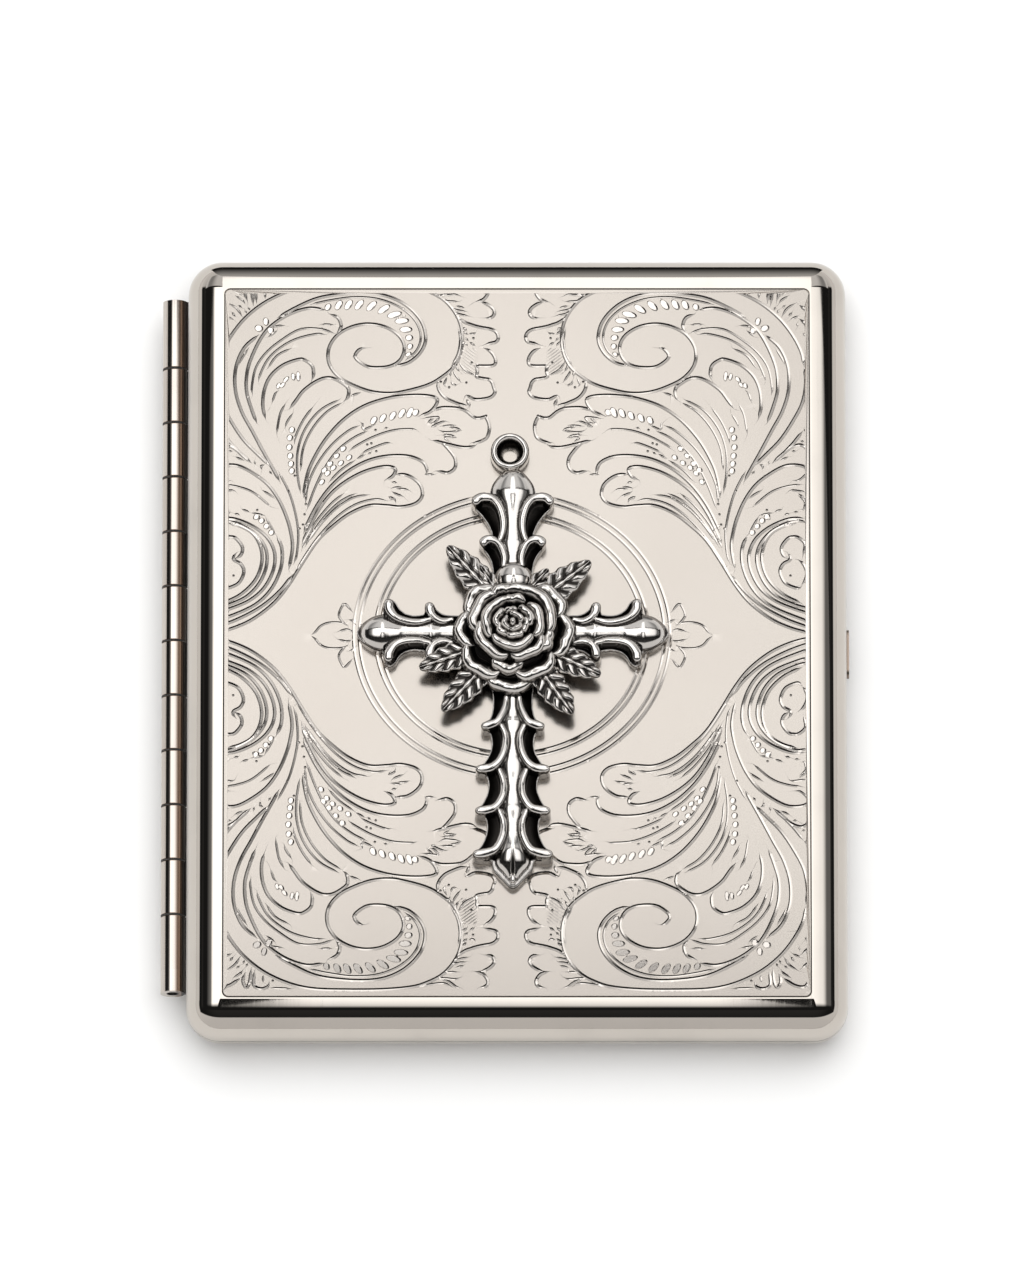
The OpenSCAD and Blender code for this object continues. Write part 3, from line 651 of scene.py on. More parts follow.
# ---------- spray of leaves ----------
# Six cast leaves and two short sepals under the rose, each with a raised midrib and swellings
# between its side veins. Their tips stand clear of the plate. The veins hold dark oxide.
# Each leaf: its root and tip, from the cross's middle, and half its width
leaf_tips = [((-2.4, 4.3), (-7.9, 10.4), 1.85), ((3.0, 3.6), (9.4, 8.5), 1.85),
             ((-4.4, -2.3), (-11.3, -4.9), 1.70), ((-3.3, -4.4), (-8.5, -10.3), 1.80),
             ((4.2, -2.6), (10.6, -5.8), 1.70), ((3.0, -4.6), (7.2, -10.7), 1.85)]
sepal_tips = [((-2.3, 5.4), (-3.9, 7.7), 0.95), ((2.3, 5.4), (4.3, 7.5), 0.95)]
leaf_height = 3.0                      # of a leaf's root above the plate
leaf_curl = 0.45                       # how much its tip stands higher
leaf_thickness = 0.45


def closed_sheet(rows, columns):
    """Faces between two grids of points, the second grid under the first, shut round the rim."""
    faces = []
    width, sheet = columns + 1, (rows + 1)*(columns + 1)
    for i in range(rows):
        for k in range(columns):
            a = i*width + k
            faces.append((a, a + 1, a + width + 1, a + width))
            faces.append((sheet + a, sheet + a + width, sheet + a + width + 1, sheet + a + 1))
    rim = list(range(width)) + [i*width + columns for i in range(1, rows + 1)]
    rim += [rows*width + k for k in reversed(range(columns))]
    rim += [i*width for i in reversed(range(1, rows))]
    return faces + [(b, a, sheet + a, sheet + b) for a, b in zip(rim, rim[1:] + rim[:1])]


def leaf_mesh(root, tip, half_width, veins):
    root, tip = np.array(root), np.array(tip)
    run = tip - root
    length = np.linalg.norm(run)
    run = run/length
    across = np.array([-run[1], run[0]])
    rows, columns = 70, 30
    points, hollow = [], []
    for side in (1, -1):
        for i in range(rows + 1):
            s = i/rows
            half = half_width*(math.sin(math.pi*min(1, 0.12 + 0.87*s**0.85))**0.58)
            half = max(half*(1 + 0.07*math.cos(2*math.pi*(veins*s - 0.9))), 0.05)
            for k in range(columns + 1):
                t = 2*k/columns - 1
                spot = cross_place + root + run*length*s + across*half*t
                lobe = (0.5 + 0.5*math.cos(2*math.pi*(veins*s - 0.9*abs(t))))**0.38
                ramp = max(0, 1 - abs(t)**8)
                ends = ease(np.float64(s), 0.0, 0.08)*(1 - ease(np.float64(s), 0.93, 1.0))
                rise = leaf_height + leaf_curl*s**2 + 0.18*(1 - abs(t)**2)
                rib = math.exp(-(t/0.085)**2)
                beside = math.exp(-((abs(t) - 0.19)/0.065)**2)
                if side == 1:
                    body = (0.42*lobe - 0.16)*ends*(1 - rib)*(1 - beside) - 0.18*beside
                    z = rise + body*ramp + 0.20*rib - 0.12*(1 - ramp)
                    dark = (1 - lobe)*(1 - rib)*1.15 + 0.8*beside*(1 - rib)
                    hollow.append(min(1, dark)*(1 - ease(np.float64(abs(t)), 0.78, 0.92)))
                else:
                    z = rise - leaf_thickness*ramp - 0.17
                    hollow.append(0.6)
                points.append((spot[0], spot[1], plate_top + z))
    return points, closed_sheet(rows, columns), hollow


class Cluster:
    """Several closed bodies that are cast as one piece."""
    def __init__(self):
        self.points, self.faces, self.hollow = [], [], []

    def add(self, points, faces, hollow):
        start = len(self.points)
        self.points += points
        self.faces += [tuple(i + start for i in face) for face in faces]
        self.hollow += hollow

    def piece(self, name, node):
        thing = mesh_piece(name, self.points, self.faces, silver, self.hollow)
        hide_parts(node)
        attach(thing, "lid")


spray = Cluster()
for root, tip, half_width in leaf_tips:
    spray.add(*leaf_mesh(root, tip, half_width, 5))
for root, tip, half_width in sepal_tips:
    spray.add(*leaf_mesh(root, tip, half_width, 2))
spray.piece("leaf_spray", "rose_leaves")


# ---------- rose ----------
# A cast garden rose: rings of cupped petals with rolled rims round a tight bud. Rims are rubbed
# bright, the cups between them keep dark oxide. A pin from behind holds it on the cross.
# Each petal: direction of its middle and half width (degrees), reach, rim height, ends' inset
rose_petals = [
    (267, 25, 8.3, 3.75, 1.3), (139, 25, 7.1, 4.25, 1.3), (36, 24, 7.35, 4.25, 1.2),
    (350, 26, 7.65, 4.2, 1.3), (183, 24, 7.2, 4.2, 1.4), (228, 27, 7.7, 4.3, 1.3),
    (299, 27, 7.35, 4.45, 1.2), (262, 24, 6.1, 4.75, 1.0),
    (333, 20, 5.45, 5.2, 0.6), (153, 36, 5.6, 5.3, 0.5), (106, 22, 5.5, 5.25, 0.5),
    (44, 56, 5.65, 5.45, 0.6), (218, 44, 4.95, 5.55, 0.5), (303, 37, 4.85, 5.6, 0.5),
    (156, 57, 3.95, 6.05, 0.3), (84, 24, 3.85, 6.0, 0.3), (10, 44, 3.95, 6.1, 0.4),
    (270, 58, 3.55, 6.25, 0.3), (28, 42, 2.75, 6.45, 0.3), (98, 30, 2.15, 6.4, 0.25),
    (160, 40, 2.55, 6.3, 0.25), (215, 36, 2.3, 6.35, 0.25), (278, 40, 2.25, 6.4, 0.25),
    (348, 36, 2.2, 6.45, 0.25),
    (190, 62, 1.45, 6.6, 0.12), (50, 60, 1.5, 6.65, 0.12), (305, 60, 1.4, 6.55, 0.12)]
rose_place = cross_place + np.array([0.0, 0.15])
# section of a petal: out from its rim, up from its rim, and how dark
petal_section = [(-1.75, -1.20, 1.0), (-1.45, -0.86, 0.9), (-1.15, -0.56, 0.7), (-0.85, -0.32, 0.5),
                 (-0.58, -0.14, 0.36), (-0.32, -0.03, 0.1), (-0.05, 0.0, 0.0), (0.18, -0.06, 0.0),
                 (0.38, -0.20, 0.1),
                 (0.55, -0.42, 0.34), (0.68, -0.72, 0.5), (0.76, -1.08, 0.75), (0.74, -1.50, 1.0),
                 (0.62, -1.95, 1.0), (-0.6, -2.2, 1.0)]


def petal_mesh(number, facing, half_width, radius, rim, inset):
    points, hollow, faces = [], [], []
    stations = 44
    width = len(petal_section)
    size = 0.42 + 0.58*min(1, radius/6.5)
    for i in range(stations + 1):
        a = 2*i/stations - 1
        turn = math.radians(facing + half_width*a)
        taper = 1 - abs(a)**5
        rounding = 1 - math.sqrt(max(0, 1 - a*a*0.98))
        ripple = math.sin(5.3*a + 1.9*number)
        reach = radius - 0.72*size - inset*rounding + 0.12*ripple*taper*size
        top = rim - 0.40*rounding + 0.10*math.sin(4.1*a + 2.7*number)*taper*size
        fall = 0.5 + 0.5*taper
        for out, up, dark in petal_section:
            rho = max(reach + out*size*(0.5 + 0.5*taper), 0.12)
            crinkle = 0.035*math.sin(7.3*a + 1.7*number + 2.0*out)
            crinkle += 0.018*math.sin(14.9*a + 0.9*number - 2.3*out)
            z = max(top + crinkle*taper*size*(dark < 0.6) + up*fall*(0.8 + 0.2*size), 2.35)
            points.append((rose_place[0] + rho*math.cos(turn), rose_place[1] + rho*math.sin(turn),
                           plate_top + z))
            hollow.append(min(1.0, max(dark*(1.7 - 0.7*size), 0.5*(1 - taper))))
    for i in range(stations):
        for k in range(width):
            a, b = i*width + k, i*width + (k + 1) % width
            faces.append((a, b, b + width, a + width))
    faces.append(tuple(reversed(range(width))))
    faces.append(tuple(stations*width + k for k in range(width)))
    return points, faces, hollow


def lathe(place, profile, count, dark):
    """A closed body of revolution from (radius along x, along y, height), its ends shut flat."""
    points = [(place[0] + rx*math.cos(2*math.pi*k/count), place[1] + ry*math.sin(2*math.pi*k/count),
               plate_top + up) for rx, ry, up in profile for k in range(count)]
    faces = [(i*count + k, i*count + (k + 1) % count, (i + 1)*count + (k + 1) % count, (i + 1)*count + k)
             for i in range(len(profile) - 1) for k in range(count)]
    faces += [tuple(reversed(range(count))), tuple((len(profile) - 1)*count + k for k in range(count))]
    return points, faces, [dark(up) for _, _, up in profile for k in range(count)]


rose = Cluster()
for number, petal in enumerate(rose_petals):
    rose.add(*petal_mesh(number, *petal))
# the dark heart under the petals, and the bud in the middle
heart = [(6.4, 2.5), (6.3, 3.0), (5.2, 3.3), (4.4, 3.9), (3.4, 4.4), (2.6, 4.9), (1.6, 5.3), (0.9, 5.5)]
rose.add(*lathe(rose_place - np.array([0, 0.3]), [(r, r, up) for r, up in heart], 48, lambda up: 1.0))
bud = [(0.46*math.sin(turn), 0.66*math.sin(turn), 5.9 - 0.8*math.cos(turn))
       for turn in np.linspace(0.02, math.pi - 0.02, 13)]
rose.add(*lathe(rose_place, bud, 24, lambda up: 0.9 if up < 5.6 else 0.0))
rose.piece("rose_casting", "rose")


# ---------- engraved plate ----------
# A thin nickel plate set into the lid, brushed satin and then engraved by hand: acanthus scrolls
# mirrored four ways and two pairs of rings. Each cut is a slanted V whose wide side shines.
# Upper right quarter of the engraving, in millimetres from its middle. Outlines are the deep cuts.
outline_cuts = [
    # the big volute, from the plate's edge to its curled end
    [(35.55, 34.0), (35.2, 35.9), (34.1, 38.1), (32.4, 40.3), (30, 42.25), (27, 43.7), (24, 44.4),
     (20, 44.55), (15.5, 44.5), (12, 44.15), (10, 43.5), (8.4, 42.6), (7.2, 41.3), (6.4, 39.8),
     (6.05, 38), (6.2, 36), (7.1, 34), (8.9, 32.45), (10.4, 31.65), (12.6, 31), (14.6, 30.65),
     (16.8, 30.8), (18.9, 31.5), (20.9, 32.6), (22.2, 34.3), (22.3, 36.3), (21.3, 38),
     (19.6, 39.05), (17.6, 39.45), (15.5, 39.1), (13.8, 38), (13.1, 36.5), (13.6, 34.9), (15, 34.05),
     (17.2, 33.95), (18.5, 34.6), (19.1, 35.4), (18.5, 36.25), (17.75, 36.4)],
    [(28.6, 40.2), (26.2, 41.6), (23.6, 42.75), (20.6, 43.25), (17.4, 43.35), (14.8, 42.85),
     (12.6, 41.6), (11, 39.7), (10.5, 37.6), (11.1, 35.9), (12.5, 34.6), (14.3, 34.05)],
    # the frill beside it
    [(4.1, 44.3), (3.2, 44.1), (2.9, 43.6), (3.1, 43), (3.6, 42.5), (4.6, 42.2)],
    [(4, 42.3), (3.2, 42.05), (2.5, 41.6), (2.15, 41.1), (2.2, 40.6), (2.6, 40.25), (3.4, 40.2)],
    [(6.7, 40.5), (6.2, 40), (5.6, 39.6), (4.9, 39.35), (4.3, 39.15), (3.4, 38.95), (2.6, 38.8),
     (2, 38.5), (1.7, 38), (1.7, 37.5), (2, 37.15), (2.6, 37), (3.5, 36.75)],
    [(3.5, 36.4), (2.8, 36.1), (2.3, 35.6), (2, 34.9), (2.1, 34.3), (2.6, 34.12), (3.4, 34.1),
     (4.2, 34.05), (4.2, 33.4), (4.3, 32.75), (3.4, 32.5), (2.8, 32.4), (2.4, 32), (2.2, 31.3),
     (2.05, 30.9), (2.2, 30.5), (2.6, 30.15), (3.4, 29.93), (4.5, 29.88), (5.5, 30.35), (5.8, 30.1)],
    [(5.5, 29.9), (5.1, 29)],
    [(5.3, 29.1), (6.3, 29.25), (7.2, 29.6), (8, 30), (8.6, 30.6), (8.95, 31.3), (9, 32), (8.9, 32.4)],
    # the plume that leaves the volute, and its back
    [(22.3, 40.75), (21.2, 40.25), (20.8, 39.3), (21, 38.7), (21.4, 38.2)],
    [(22.6, 41.2), (24.8, 41.45), (27.2, 40.65), (29.2, 39.3), (30.4, 37.9), (31.5, 35.7),
     (32.2, 33.5), (32.3, 31), (31.7, 28.7), (31, 26.8)],
    [(30.8, 38.1), (32.6, 36.4), (33.6, 33.9), (33.65, 31.1), (32.9, 28.4), (31.6, 25.9),
     (30.2, 23.2), (28.8, 20.6), (28.2, 19.4)],
    [(35.55, 34), (35.75, 32), (35.3, 29.4), (34.1, 27), (32.6, 24.7), (30.9, 22.9), (29.4, 21.4)],
    # curl inside the plume
    [(24.4, 32.2), (24.15, 33), (24.3, 34.1), (25.1, 34.8), (26, 34.95), (27.9, 34.2), (29.4, 32.8),
     (30.15, 31), (30.3, 29), (29.95, 27.3)],
    [(20.5, 29.6), (20, 30.1), (19.85, 31), (20.2, 31.6), (21.5, 32.45), (22.7, 32.6), (24, 32.05),
     (25.4, 30.95), (26.3, 29.7), (27.1, 28.6)],
    # the long leaf under it
    [(11.4, 27.7), (9.9, 28.35), (9.1, 29.5), (9.4, 30.15), (11.4, 30.4), (14.2, 30.2), (16.6, 29.6),
     (18.6, 28.7), (20.6, 27.2), (22.3, 25.3), (23.6, 23.3), (24.7, 20.9), (25.2, 18.6), (25.3, 17.4)],
    [(9.9, 28.3), (8.6, 28.8), (6.6, 28.75), (5.6, 28.4), (4.6, 27.6), (3.9, 27.5), (3.2, 27.6),
     (2.75, 26.5), (2.95, 25.2), (3.5, 24.7), (4.3, 24.4), (5, 24.35)],
    [(4.25, 24.15), (4.9, 23.85), (6, 23.8), (7.8, 24.2), (9.3, 24.6), (9.8, 24.65)],
    [(9.1, 24.5), (8.3, 24.2), (7.2, 22.9), (6.85, 22.1), (6.9, 21.3), (7.3, 20.8), (7.9, 20.55),
     (8.6, 20.7), (9.3, 20.8)],
    [(10.6, 20.35), (10.3, 20.8), (10.8, 21.9), (12.5, 22.65), (15, 22.7), (17.4, 22.15),
     (19.8, 20.85), (21.9, 18.95), (23.6, 16.6), (24.9, 14), (25.3, 12.9)],
    [(15.5, 19.6), (14.5, 20.15), (14.2, 21.1), (15.6, 21.35), (18, 20.7), (20.3, 19.4), (22.2, 17.7),
     (23.8, 15.3), (25.1, 12.5), (25.5, 11.5)],
    [(14.3, 20.4), (12.6, 20.2), (11.2, 19.1), (10.9, 17.7), (11.7, 16.7), (13.5, 16.25), (15.2, 16.4),
     (17.4, 16.4), (19.8, 15.35), (21.9, 13.7), (23.6, 12), (25.3, 9.4), (27.1, 6.4), (28.9, 4.1),
     (31.4, 2.1), (33.8, 0.95), (36.3, 0.25)],
    [(26.6, 7.7), (28.2, 5.6), (30.5, 3.6), (33.4, 2), (36.3, 0.9)],
    # leaf at the plate's side, and the stem down to the eye
    [(36.2, 20.8), (35.2, 21.45), (33.3, 21.45), (31.3, 20.4), (29.6, 19), (28.3, 17.1), (27.4, 15),
     (26.9, 13.2), (26.65, 11.1), (27.1, 8.3)],
    [(31.6, 21.75), (33.2, 23.2), (34, 23.8), (35, 24.1), (35.6, 23.8), (35.9, 23.3)],
    [(35.4, 25.9), (34.1, 24.2), (32.6, 22.6), (31.6, 21.75)],
    # the eye with its trefoil
    [(28.6, 12.7), (27.95, 11), (28, 8.8), (28.9, 6.4), (30.4, 4.5), (32.4, 3.2), (36.2, 1.65)],
    [(35.6, 14.8), (33.6, 14.7), (31.3, 13.7), (29.6, 12.2), (28.8, 10.3), (29, 8.2), (30.1, 6),
     (31.9, 4.4), (34.4, 3.3), (36.2, 2.75)],
    [(35.9, 14.15), (34.8, 14.5), (33.2, 14.1), (31.3, 12.95), (30, 11.2), (29.75, 9.2), (30.5, 6.9),
     (32.1, 5), (34.4, 3.85), (36.2, 3.35)],
    [(34.6, 14.2), (33, 13.8), (31.5, 12.9), (30.6, 11.4), (30.35, 9.4), (31.1, 7.1), (32.9, 5.2),
     (35.2, 4)],
    [(33.7, 9.6), (32.9, 10.2), (32.75, 11.2), (33.5, 12.25), (34.1, 12.45), (34.8, 12.35),
     (35.6, 11.5), (35.3, 10)],
    [(33.4, 10.5), (33.8, 9.95), (33.7, 9.5), (32.9, 9), (32.55, 8), (33.2, 6.6), (34.7, 5.95),
     (35.2, 6.3)],
    [(34.7, 9.6), (35.4, 9), (35.8, 7.9), (35.6, 7), (35.1, 6.35)],
    # corner fan
    [(29.3, 43.5), (29.5, 44.1), (30.3, 44.4), (31.2, 43.9), (31.1, 42.1)],
    [(31.5, 41.8), (31.7, 43.6), (32.1, 44.25), (32.5, 43.4), (32.2, 42.3)],
    [(32.7, 43), (34.1, 43.95), (35.3, 44.15), (35.9, 43.4), (35.95, 42.6)],
    [(35, 41.85), (35.85, 41.15), (35.95, 40.7)], [(35, 40.1), (35.8, 39.4), (35.9, 38.8)]]
# Veins and shading lines are cut shallower.
vein_cuts = [
    [(6.55, 39), (6.3, 37.5), (6.6, 35.6), (7.4, 34.1)],
    [(7.2, 44.2), (7.8, 43.85), (8.6, 43.7), (10.4, 43.95), (11.4, 44.2)],
    [(24.6, 41.9), (22.2, 42.45), (19.2, 42.85), (16.2, 42.6), (13.6, 41.55), (11.8, 39.9),
     (11.1, 37.9), (11.6, 36.1), (13, 34.8)],
    [(6.1, 44.3), (6.8, 44.1), (7.3, 43.7), (8, 43.35), (8.8, 43.15)],
    [(9.3, 43.15), (8, 43.1), (6.9, 43.2), (6.15, 42.95)], [(8.6, 42.6), (7.9, 42.35), (6.4, 42.3)],
    [(6.8, 41.75), (5.8, 41.5)], [(7.6, 41.7), (6.8, 41.25), (5.4, 41)],
    [(7.3, 41.3), (6.7, 40.8), (5.1, 40.4)], [(6, 39.05), (5.5, 38.65)], [(6, 38.6), (5.4, 38.1)],
    [(4.4, 38.4), (4.7, 38.2), (5.2, 38.25)], [(5.7, 37.7), (5.3, 37.3)], [(5.15, 37.15), (4.5, 36.7)],
    [(5.9, 37.2), (5.4, 36.7)], [(6.5, 34.8), (6.2, 34.2), (5.7, 33.6), (5, 33.15), (4.3, 32.8)],
    [(6.8, 34.4), (6.7, 33.9), (6.4, 33.4)], [(7.1, 33.8), (7, 33.2), (6.2, 32)],
    [(7.5, 33.5), (7.5, 32.8)], [(7.4, 32.3), (7.2, 31.8), (6.7, 31.7)],
    [(7.9, 32.7), (8.25, 31.8), (8.1, 31.5)],
    # plume
    [(21.5, 38.2), (23.3, 38.8), (25.8, 38.75), (28.2, 37.3), (30, 35.7), (31.2, 33.8), (31.65, 31.4),
     (31.55, 30.4)],
    [(22.6, 38.1), (24, 38.15), (26.5, 37.45), (28.5, 36.2), (29.8, 34.8), (30.65, 33), (30.85, 32.1)],
    [(26.8, 36.4), (28.6, 35.4), (29.8, 33.7)], [(21.7, 39.35), (23.3, 39.4)],
    [(27.7, 39.25), (28.5, 39.2), (29.2, 38.95)], [(28.6, 38.6), (29.7, 37.75)],
    [(32, 36.5), (32.9, 35), (33.2, 34.2)], [(31.2, 24.9), (30.5, 23.6), (30.2, 22.9)],
    [(28.4, 31), (28.8, 30.6), (29.2, 29.4)], [(29.45, 28.8), (29.6, 28.5)],
    [(27.5, 29.45), (28.2, 28), (28.55, 26), (28.6, 25.4)], [(26.6, 28.2), (27.35, 27), (27.6, 26.2)],
    [(18.4, 30.75), (19.1, 30.5), (19.7, 30.25)],
    [(20.6, 29.5), (22.6, 28.2), (24.3, 26.1), (25.4, 23.6), (25.7, 20.8)],
    [(20.9, 29.9), (23.3, 28.5), (25.1, 26.2), (26, 23.6), (26.1, 20.8), (25.7, 18)],
    [(24.15, 29), (25.4, 27.2), (26.3, 25.2), (26.45, 24.2)],
    # long leaf
    [(16.6, 26.7), (17.3, 26.35), (18, 26.05), (18.2, 26.3), (18.1, 26.8), (18.4, 26.95)],
    [(18.5, 26.6), (20, 25.8), (22, 24), (23.7, 21.6), (24.8, 19), (25.1, 16.6)],
    [(17.5, 25.9), (19.4, 24.9), (21.3, 23.3), (22.8, 21.1), (24, 18.5), (24.9, 15.9)],
    [(11.5, 25.9), (12, 26.1), (14.4, 25.95), (16.8, 25.15), (18.9, 24), (19.8, 23.3)],
    [(14.5, 24.3), (15.4, 24.3), (17.4, 23.5), (18.4, 22.9)], [(15.1, 26.3), (15.5, 26.2)],
    [(17.1, 23.2), (17.5, 22.9)], [(17.8, 22.95), (18.9, 22.3)],
    [(19, 22.2), (20.8, 20.9), (22.3, 19.3)],
    [(11, 27.4), (9.5, 27.6), (8.9, 27.55), (9.5, 26.9), (10.2, 26.9)], [(9.5, 27.5), (10.3, 26.9)],
    [(7.7, 27), (8.4, 27.05), (9.75, 26.4), (9.2, 26.4)], [(6.8, 26.6), (8.7, 26.45)],
    [(6.1, 25.9), (6.7, 26.2), (7.6, 26.3)], [(6.1, 25.9), (8, 25.7), (8.95, 26)],
    [(6.7, 25), (7.4, 25.3), (8.6, 25.35)], [(6.7, 25), (8.15, 25), (7.4, 24.4)],
    [(9.4, 20.35), (10.6, 20.35)],
    # curl and lower edge
    [(15.1, 17), (16.7, 17.2), (18.9, 16.6), (21, 15.2), (23, 13.1), (24.6, 10.9), (26.2, 8.2)],
    [(17.3, 17.8), (19.3, 17.4), (21.3, 16.1), (23.1, 14.2), (24.8, 11.8)],
    [(18.9, 18), (20.9, 16.9), (22.8, 15), (24.5, 12.5), (25.1, 11.2)],
    [(20.4, 18), (22.1, 16.5), (23.9, 14.2), (25.3, 11.6), (25.5, 10.9)],
    [(12.4, 18.3), (13.1, 18.5), (14, 18.5)], [(13.4, 18.8), (14.7, 18.6)], [(14, 19.3), (14.6, 19.4)],
    [(13.1, 17.5), (14.2, 17.95), (14.6, 18.2)],
    [(14.1, 16.75), (14.25, 17.2), (14.9, 17.5), (14.6, 17.1)],
    [(22.4, 15.1), (24.1, 13), (24.9, 12)],
    [(28.4, 20.8), (26.9, 17.6), (26, 13.6), (26.1, 10.5), (26.5, 9)],
    # side leaf
    [(35.3, 19.1), (33.3, 18.8), (31.4, 18.05), (29.2, 16.2)],
    [(35.7, 21.1), (35.7, 20.4), (34.9, 19.65), (34.1, 19.6)], [(30.4, 18.4), (29.3, 17.7), (28.7, 17.2)],
    [(29.2, 20.4), (29.5, 20.8)], [(30.1, 21.6), (30.5, 21.4), (30.4, 21)], [(31.3, 22.1), (31.2, 21.6)],
    [(32.6, 22.1), (33.6, 22.6)], [(34, 23.3), (34.5, 23.3)], [(35.1, 24.6), (35.5, 24.5)],
    [(35.5, 26.2), (35.9, 25.5)],
    [(33.5, 18.1), (34, 18.35), (35.9, 18.1)], [(34.8, 17.65), (35.6, 16.9), (35.4, 15.85), (35.1, 15.95)],
    [(34.8, 17.95), (35.95, 17)], [(34.8, 15.6), (34.2, 15.6)], [(33.7, 15.4), (33.1, 15.25)],
    [(32.8, 15.95), (31.9, 15.6)], [(31.7, 15.5), (30, 15.15)], [(31.45, 15), (31.2, 14.6)],
    [(30, 15.1), (28.7, 12.7)],
    # corner fan
    [(30.1, 43.6), (30.05, 42.7)], [(33.7, 43.05), (32.8, 42.45), (32.5, 42)],
    [(32.15, 41.65), (31.9, 41.2)], [(34.6, 42.15), (33.5, 41.4), (32.8, 40.3)],
    [(33.3, 41.85), (32.9, 41.5)], [(32.5, 41.3), (32.3, 40.8)],
    [(34.1, 40.95), (33.7, 40.4)], [(34.9, 40.5), (33.9, 40)], [(34.75, 39.6), (34.75, 39.1)],
    [(35.4, 38.3), (35.7, 37.95)], [(26.5, 44.4), (29.4, 44.3)]]
# Beads are small ovals cut round a bright facet: middle, direction of their length, length, width.
beads = [
    (12.6, 35.6, 60, 0.6, 0.85), (12.4, 36.6, 20, 0.8, 0.85), (12.5, 37.7, 5, 1.0, 0.85),
    (12.9, 38.75, 0, 1.6, 0.85), (13.4, 39.85, -5, 1.8, 0.85), (14.3, 40.65, -15, 1.9, 0.85),
    (15.6, 41.35, -35, 1.8, 0.85), (17.1, 41.75, -45, 1.7, 0.85), (18.6, 41.9, -52, 1.6, 0.85),
    (19.9, 41.9, -58, 1.5, 0.85), (21.1, 41.85, -60, 1.4, 0.85), (22.4, 41.6, -60, 1.0, 0.8),
    (29.95, 39.75, 80, 1.1, 0.75), (30.8, 38.9, 20, 1.1, 0.9), (29.35, 38.6, 0, 0.8, 0.9),
    (26, 32.8, 85, 1.3, 0.55), (26.6, 32.75, 80, 1.0, 0.55), (27.5, 32.4, -50, 1.0, 0.55),
    (27.9, 31.7, -50, 0.9, 0.55), (28.4, 31.6, -70, 0.9, 0.55),
    (11.7, 28.2, -60, 1.0, 0.8), (12.4, 28.2, -65, 1.5, 0.8), (13.4, 28.1, -60, 1.4, 0.8),
    (14.5, 27.8, -60, 1.3, 0.8), (15.7, 27.5, -60, 1.3, 0.8), (16.8, 27.2, -60, 1.2, 0.8),
    (19.8, 22.5, -45, 0.9, 0.7), (20.8, 21.8, -45, 0.9, 0.7), (21.7, 21.2, -45, 0.9, 0.7),
    (22.4, 20.5, -45, 0.9, 0.7), (23.1, 19.4, -50, 0.9, 0.7), (20.5, 23.6, -45, 0.9, 0.7),
    (21.3, 22.7, -45, 0.9, 0.7), (22.1, 21.7, -45, 0.9, 0.7), (22.8, 20.9, -45, 0.9, 0.7),
    (26.75, 26, 90, 0.9, 0.8), (27, 25, 90, 0.9, 0.8), (27.05, 23.8, 90, 0.9, 0.8),
    (26.95, 22.7, 90, 0.9, 0.8), (26.85, 21.7, 90, 0.9, 0.8), (26.75, 20.8, 90, 0.9, 0.8),
    (31, 15, 45, 0.8, 0.8), (30.4, 14.5, 45, 0.8, 0.8), (29.8, 13.8, 50, 0.8, 0.8),
    (29.2, 13, 55, 0.8, 0.8)]
# Punched dots.
dots = [
    (4.7, 37.65), (5.55, 32), (7.65, 31.4), (8.65, 32.1), (28.9, 43.4), (16.6, 26), (17.1, 24.3),
    (17.6, 24.15), (16.5, 23.3), (3.15, 27.8), (25.05, 16.6), (25.2, 15.3), (25.4, 14), (25.8, 13.5),
    (26.4, 20.2), (27.2, 18.3), (30.95, 15.85), (33.8, 7.55), (4.9, 34.55)]
# The flowers at the ends of the cross's arms; they are mirrored about the same lines.
flower_cuts = [
    [(19.3, 2.9), (20.2, 3.95), (20.6, 3.7), (21, 2.5), (20.3, 1.5), (19.9, 1.2)],
    [(18.9, 1.3), (19.3, 1.8), (19.8, 2.0)],
    [(19.9, 1.3), (20.8, 1.6), (22.2, 1.6), (23.2, 1.2), (23.8, 0.5), (24.4, 0)],
    [(19.3, 0.55), (20.1, 0.75), (21.2, 0.45)]]
# Ring pairs round the cross: half width and half height.
rings = [(19.2, 17.9), (18.5, 17.2), (16.6, 15.45), (15.95, 14.85)]
# A patch of fine hatching in the frill: low and high corner, spacing, slope of its lines.
hatch_low, hatch_high, hatch_spacing, hatch_slope = (4.2, 33.0), (6.3, 36.4), 0.42, 0.75


def engraved_nickel(name):
    """Satin plate: fine brush lines, faint wiped marks, and cuts that are brighter than the ground."""
    s = Surface(name)
    in_cut = s.layer("cut")
    brushed = s.noise(1, 3, (9000, 500, 1), math.radians(8))
    ground = s.blend(s.noise(42, 4), (0.385, 0.352, 0.318, 1), (0.435, 0.402, 0.366, 1))
    s.set({"Metallic": 1, "Base Color": s.blend(in_cut, ground, (0.60, 0.56, 0.52, 1)),
           "Roughness": s.mix(in_cut, s.math("MULTIPLY_ADD", brushed, 0.06, 0.17), 0.10)})
    s.bump(brushed, 0.05, 0.00002)
    return s.material


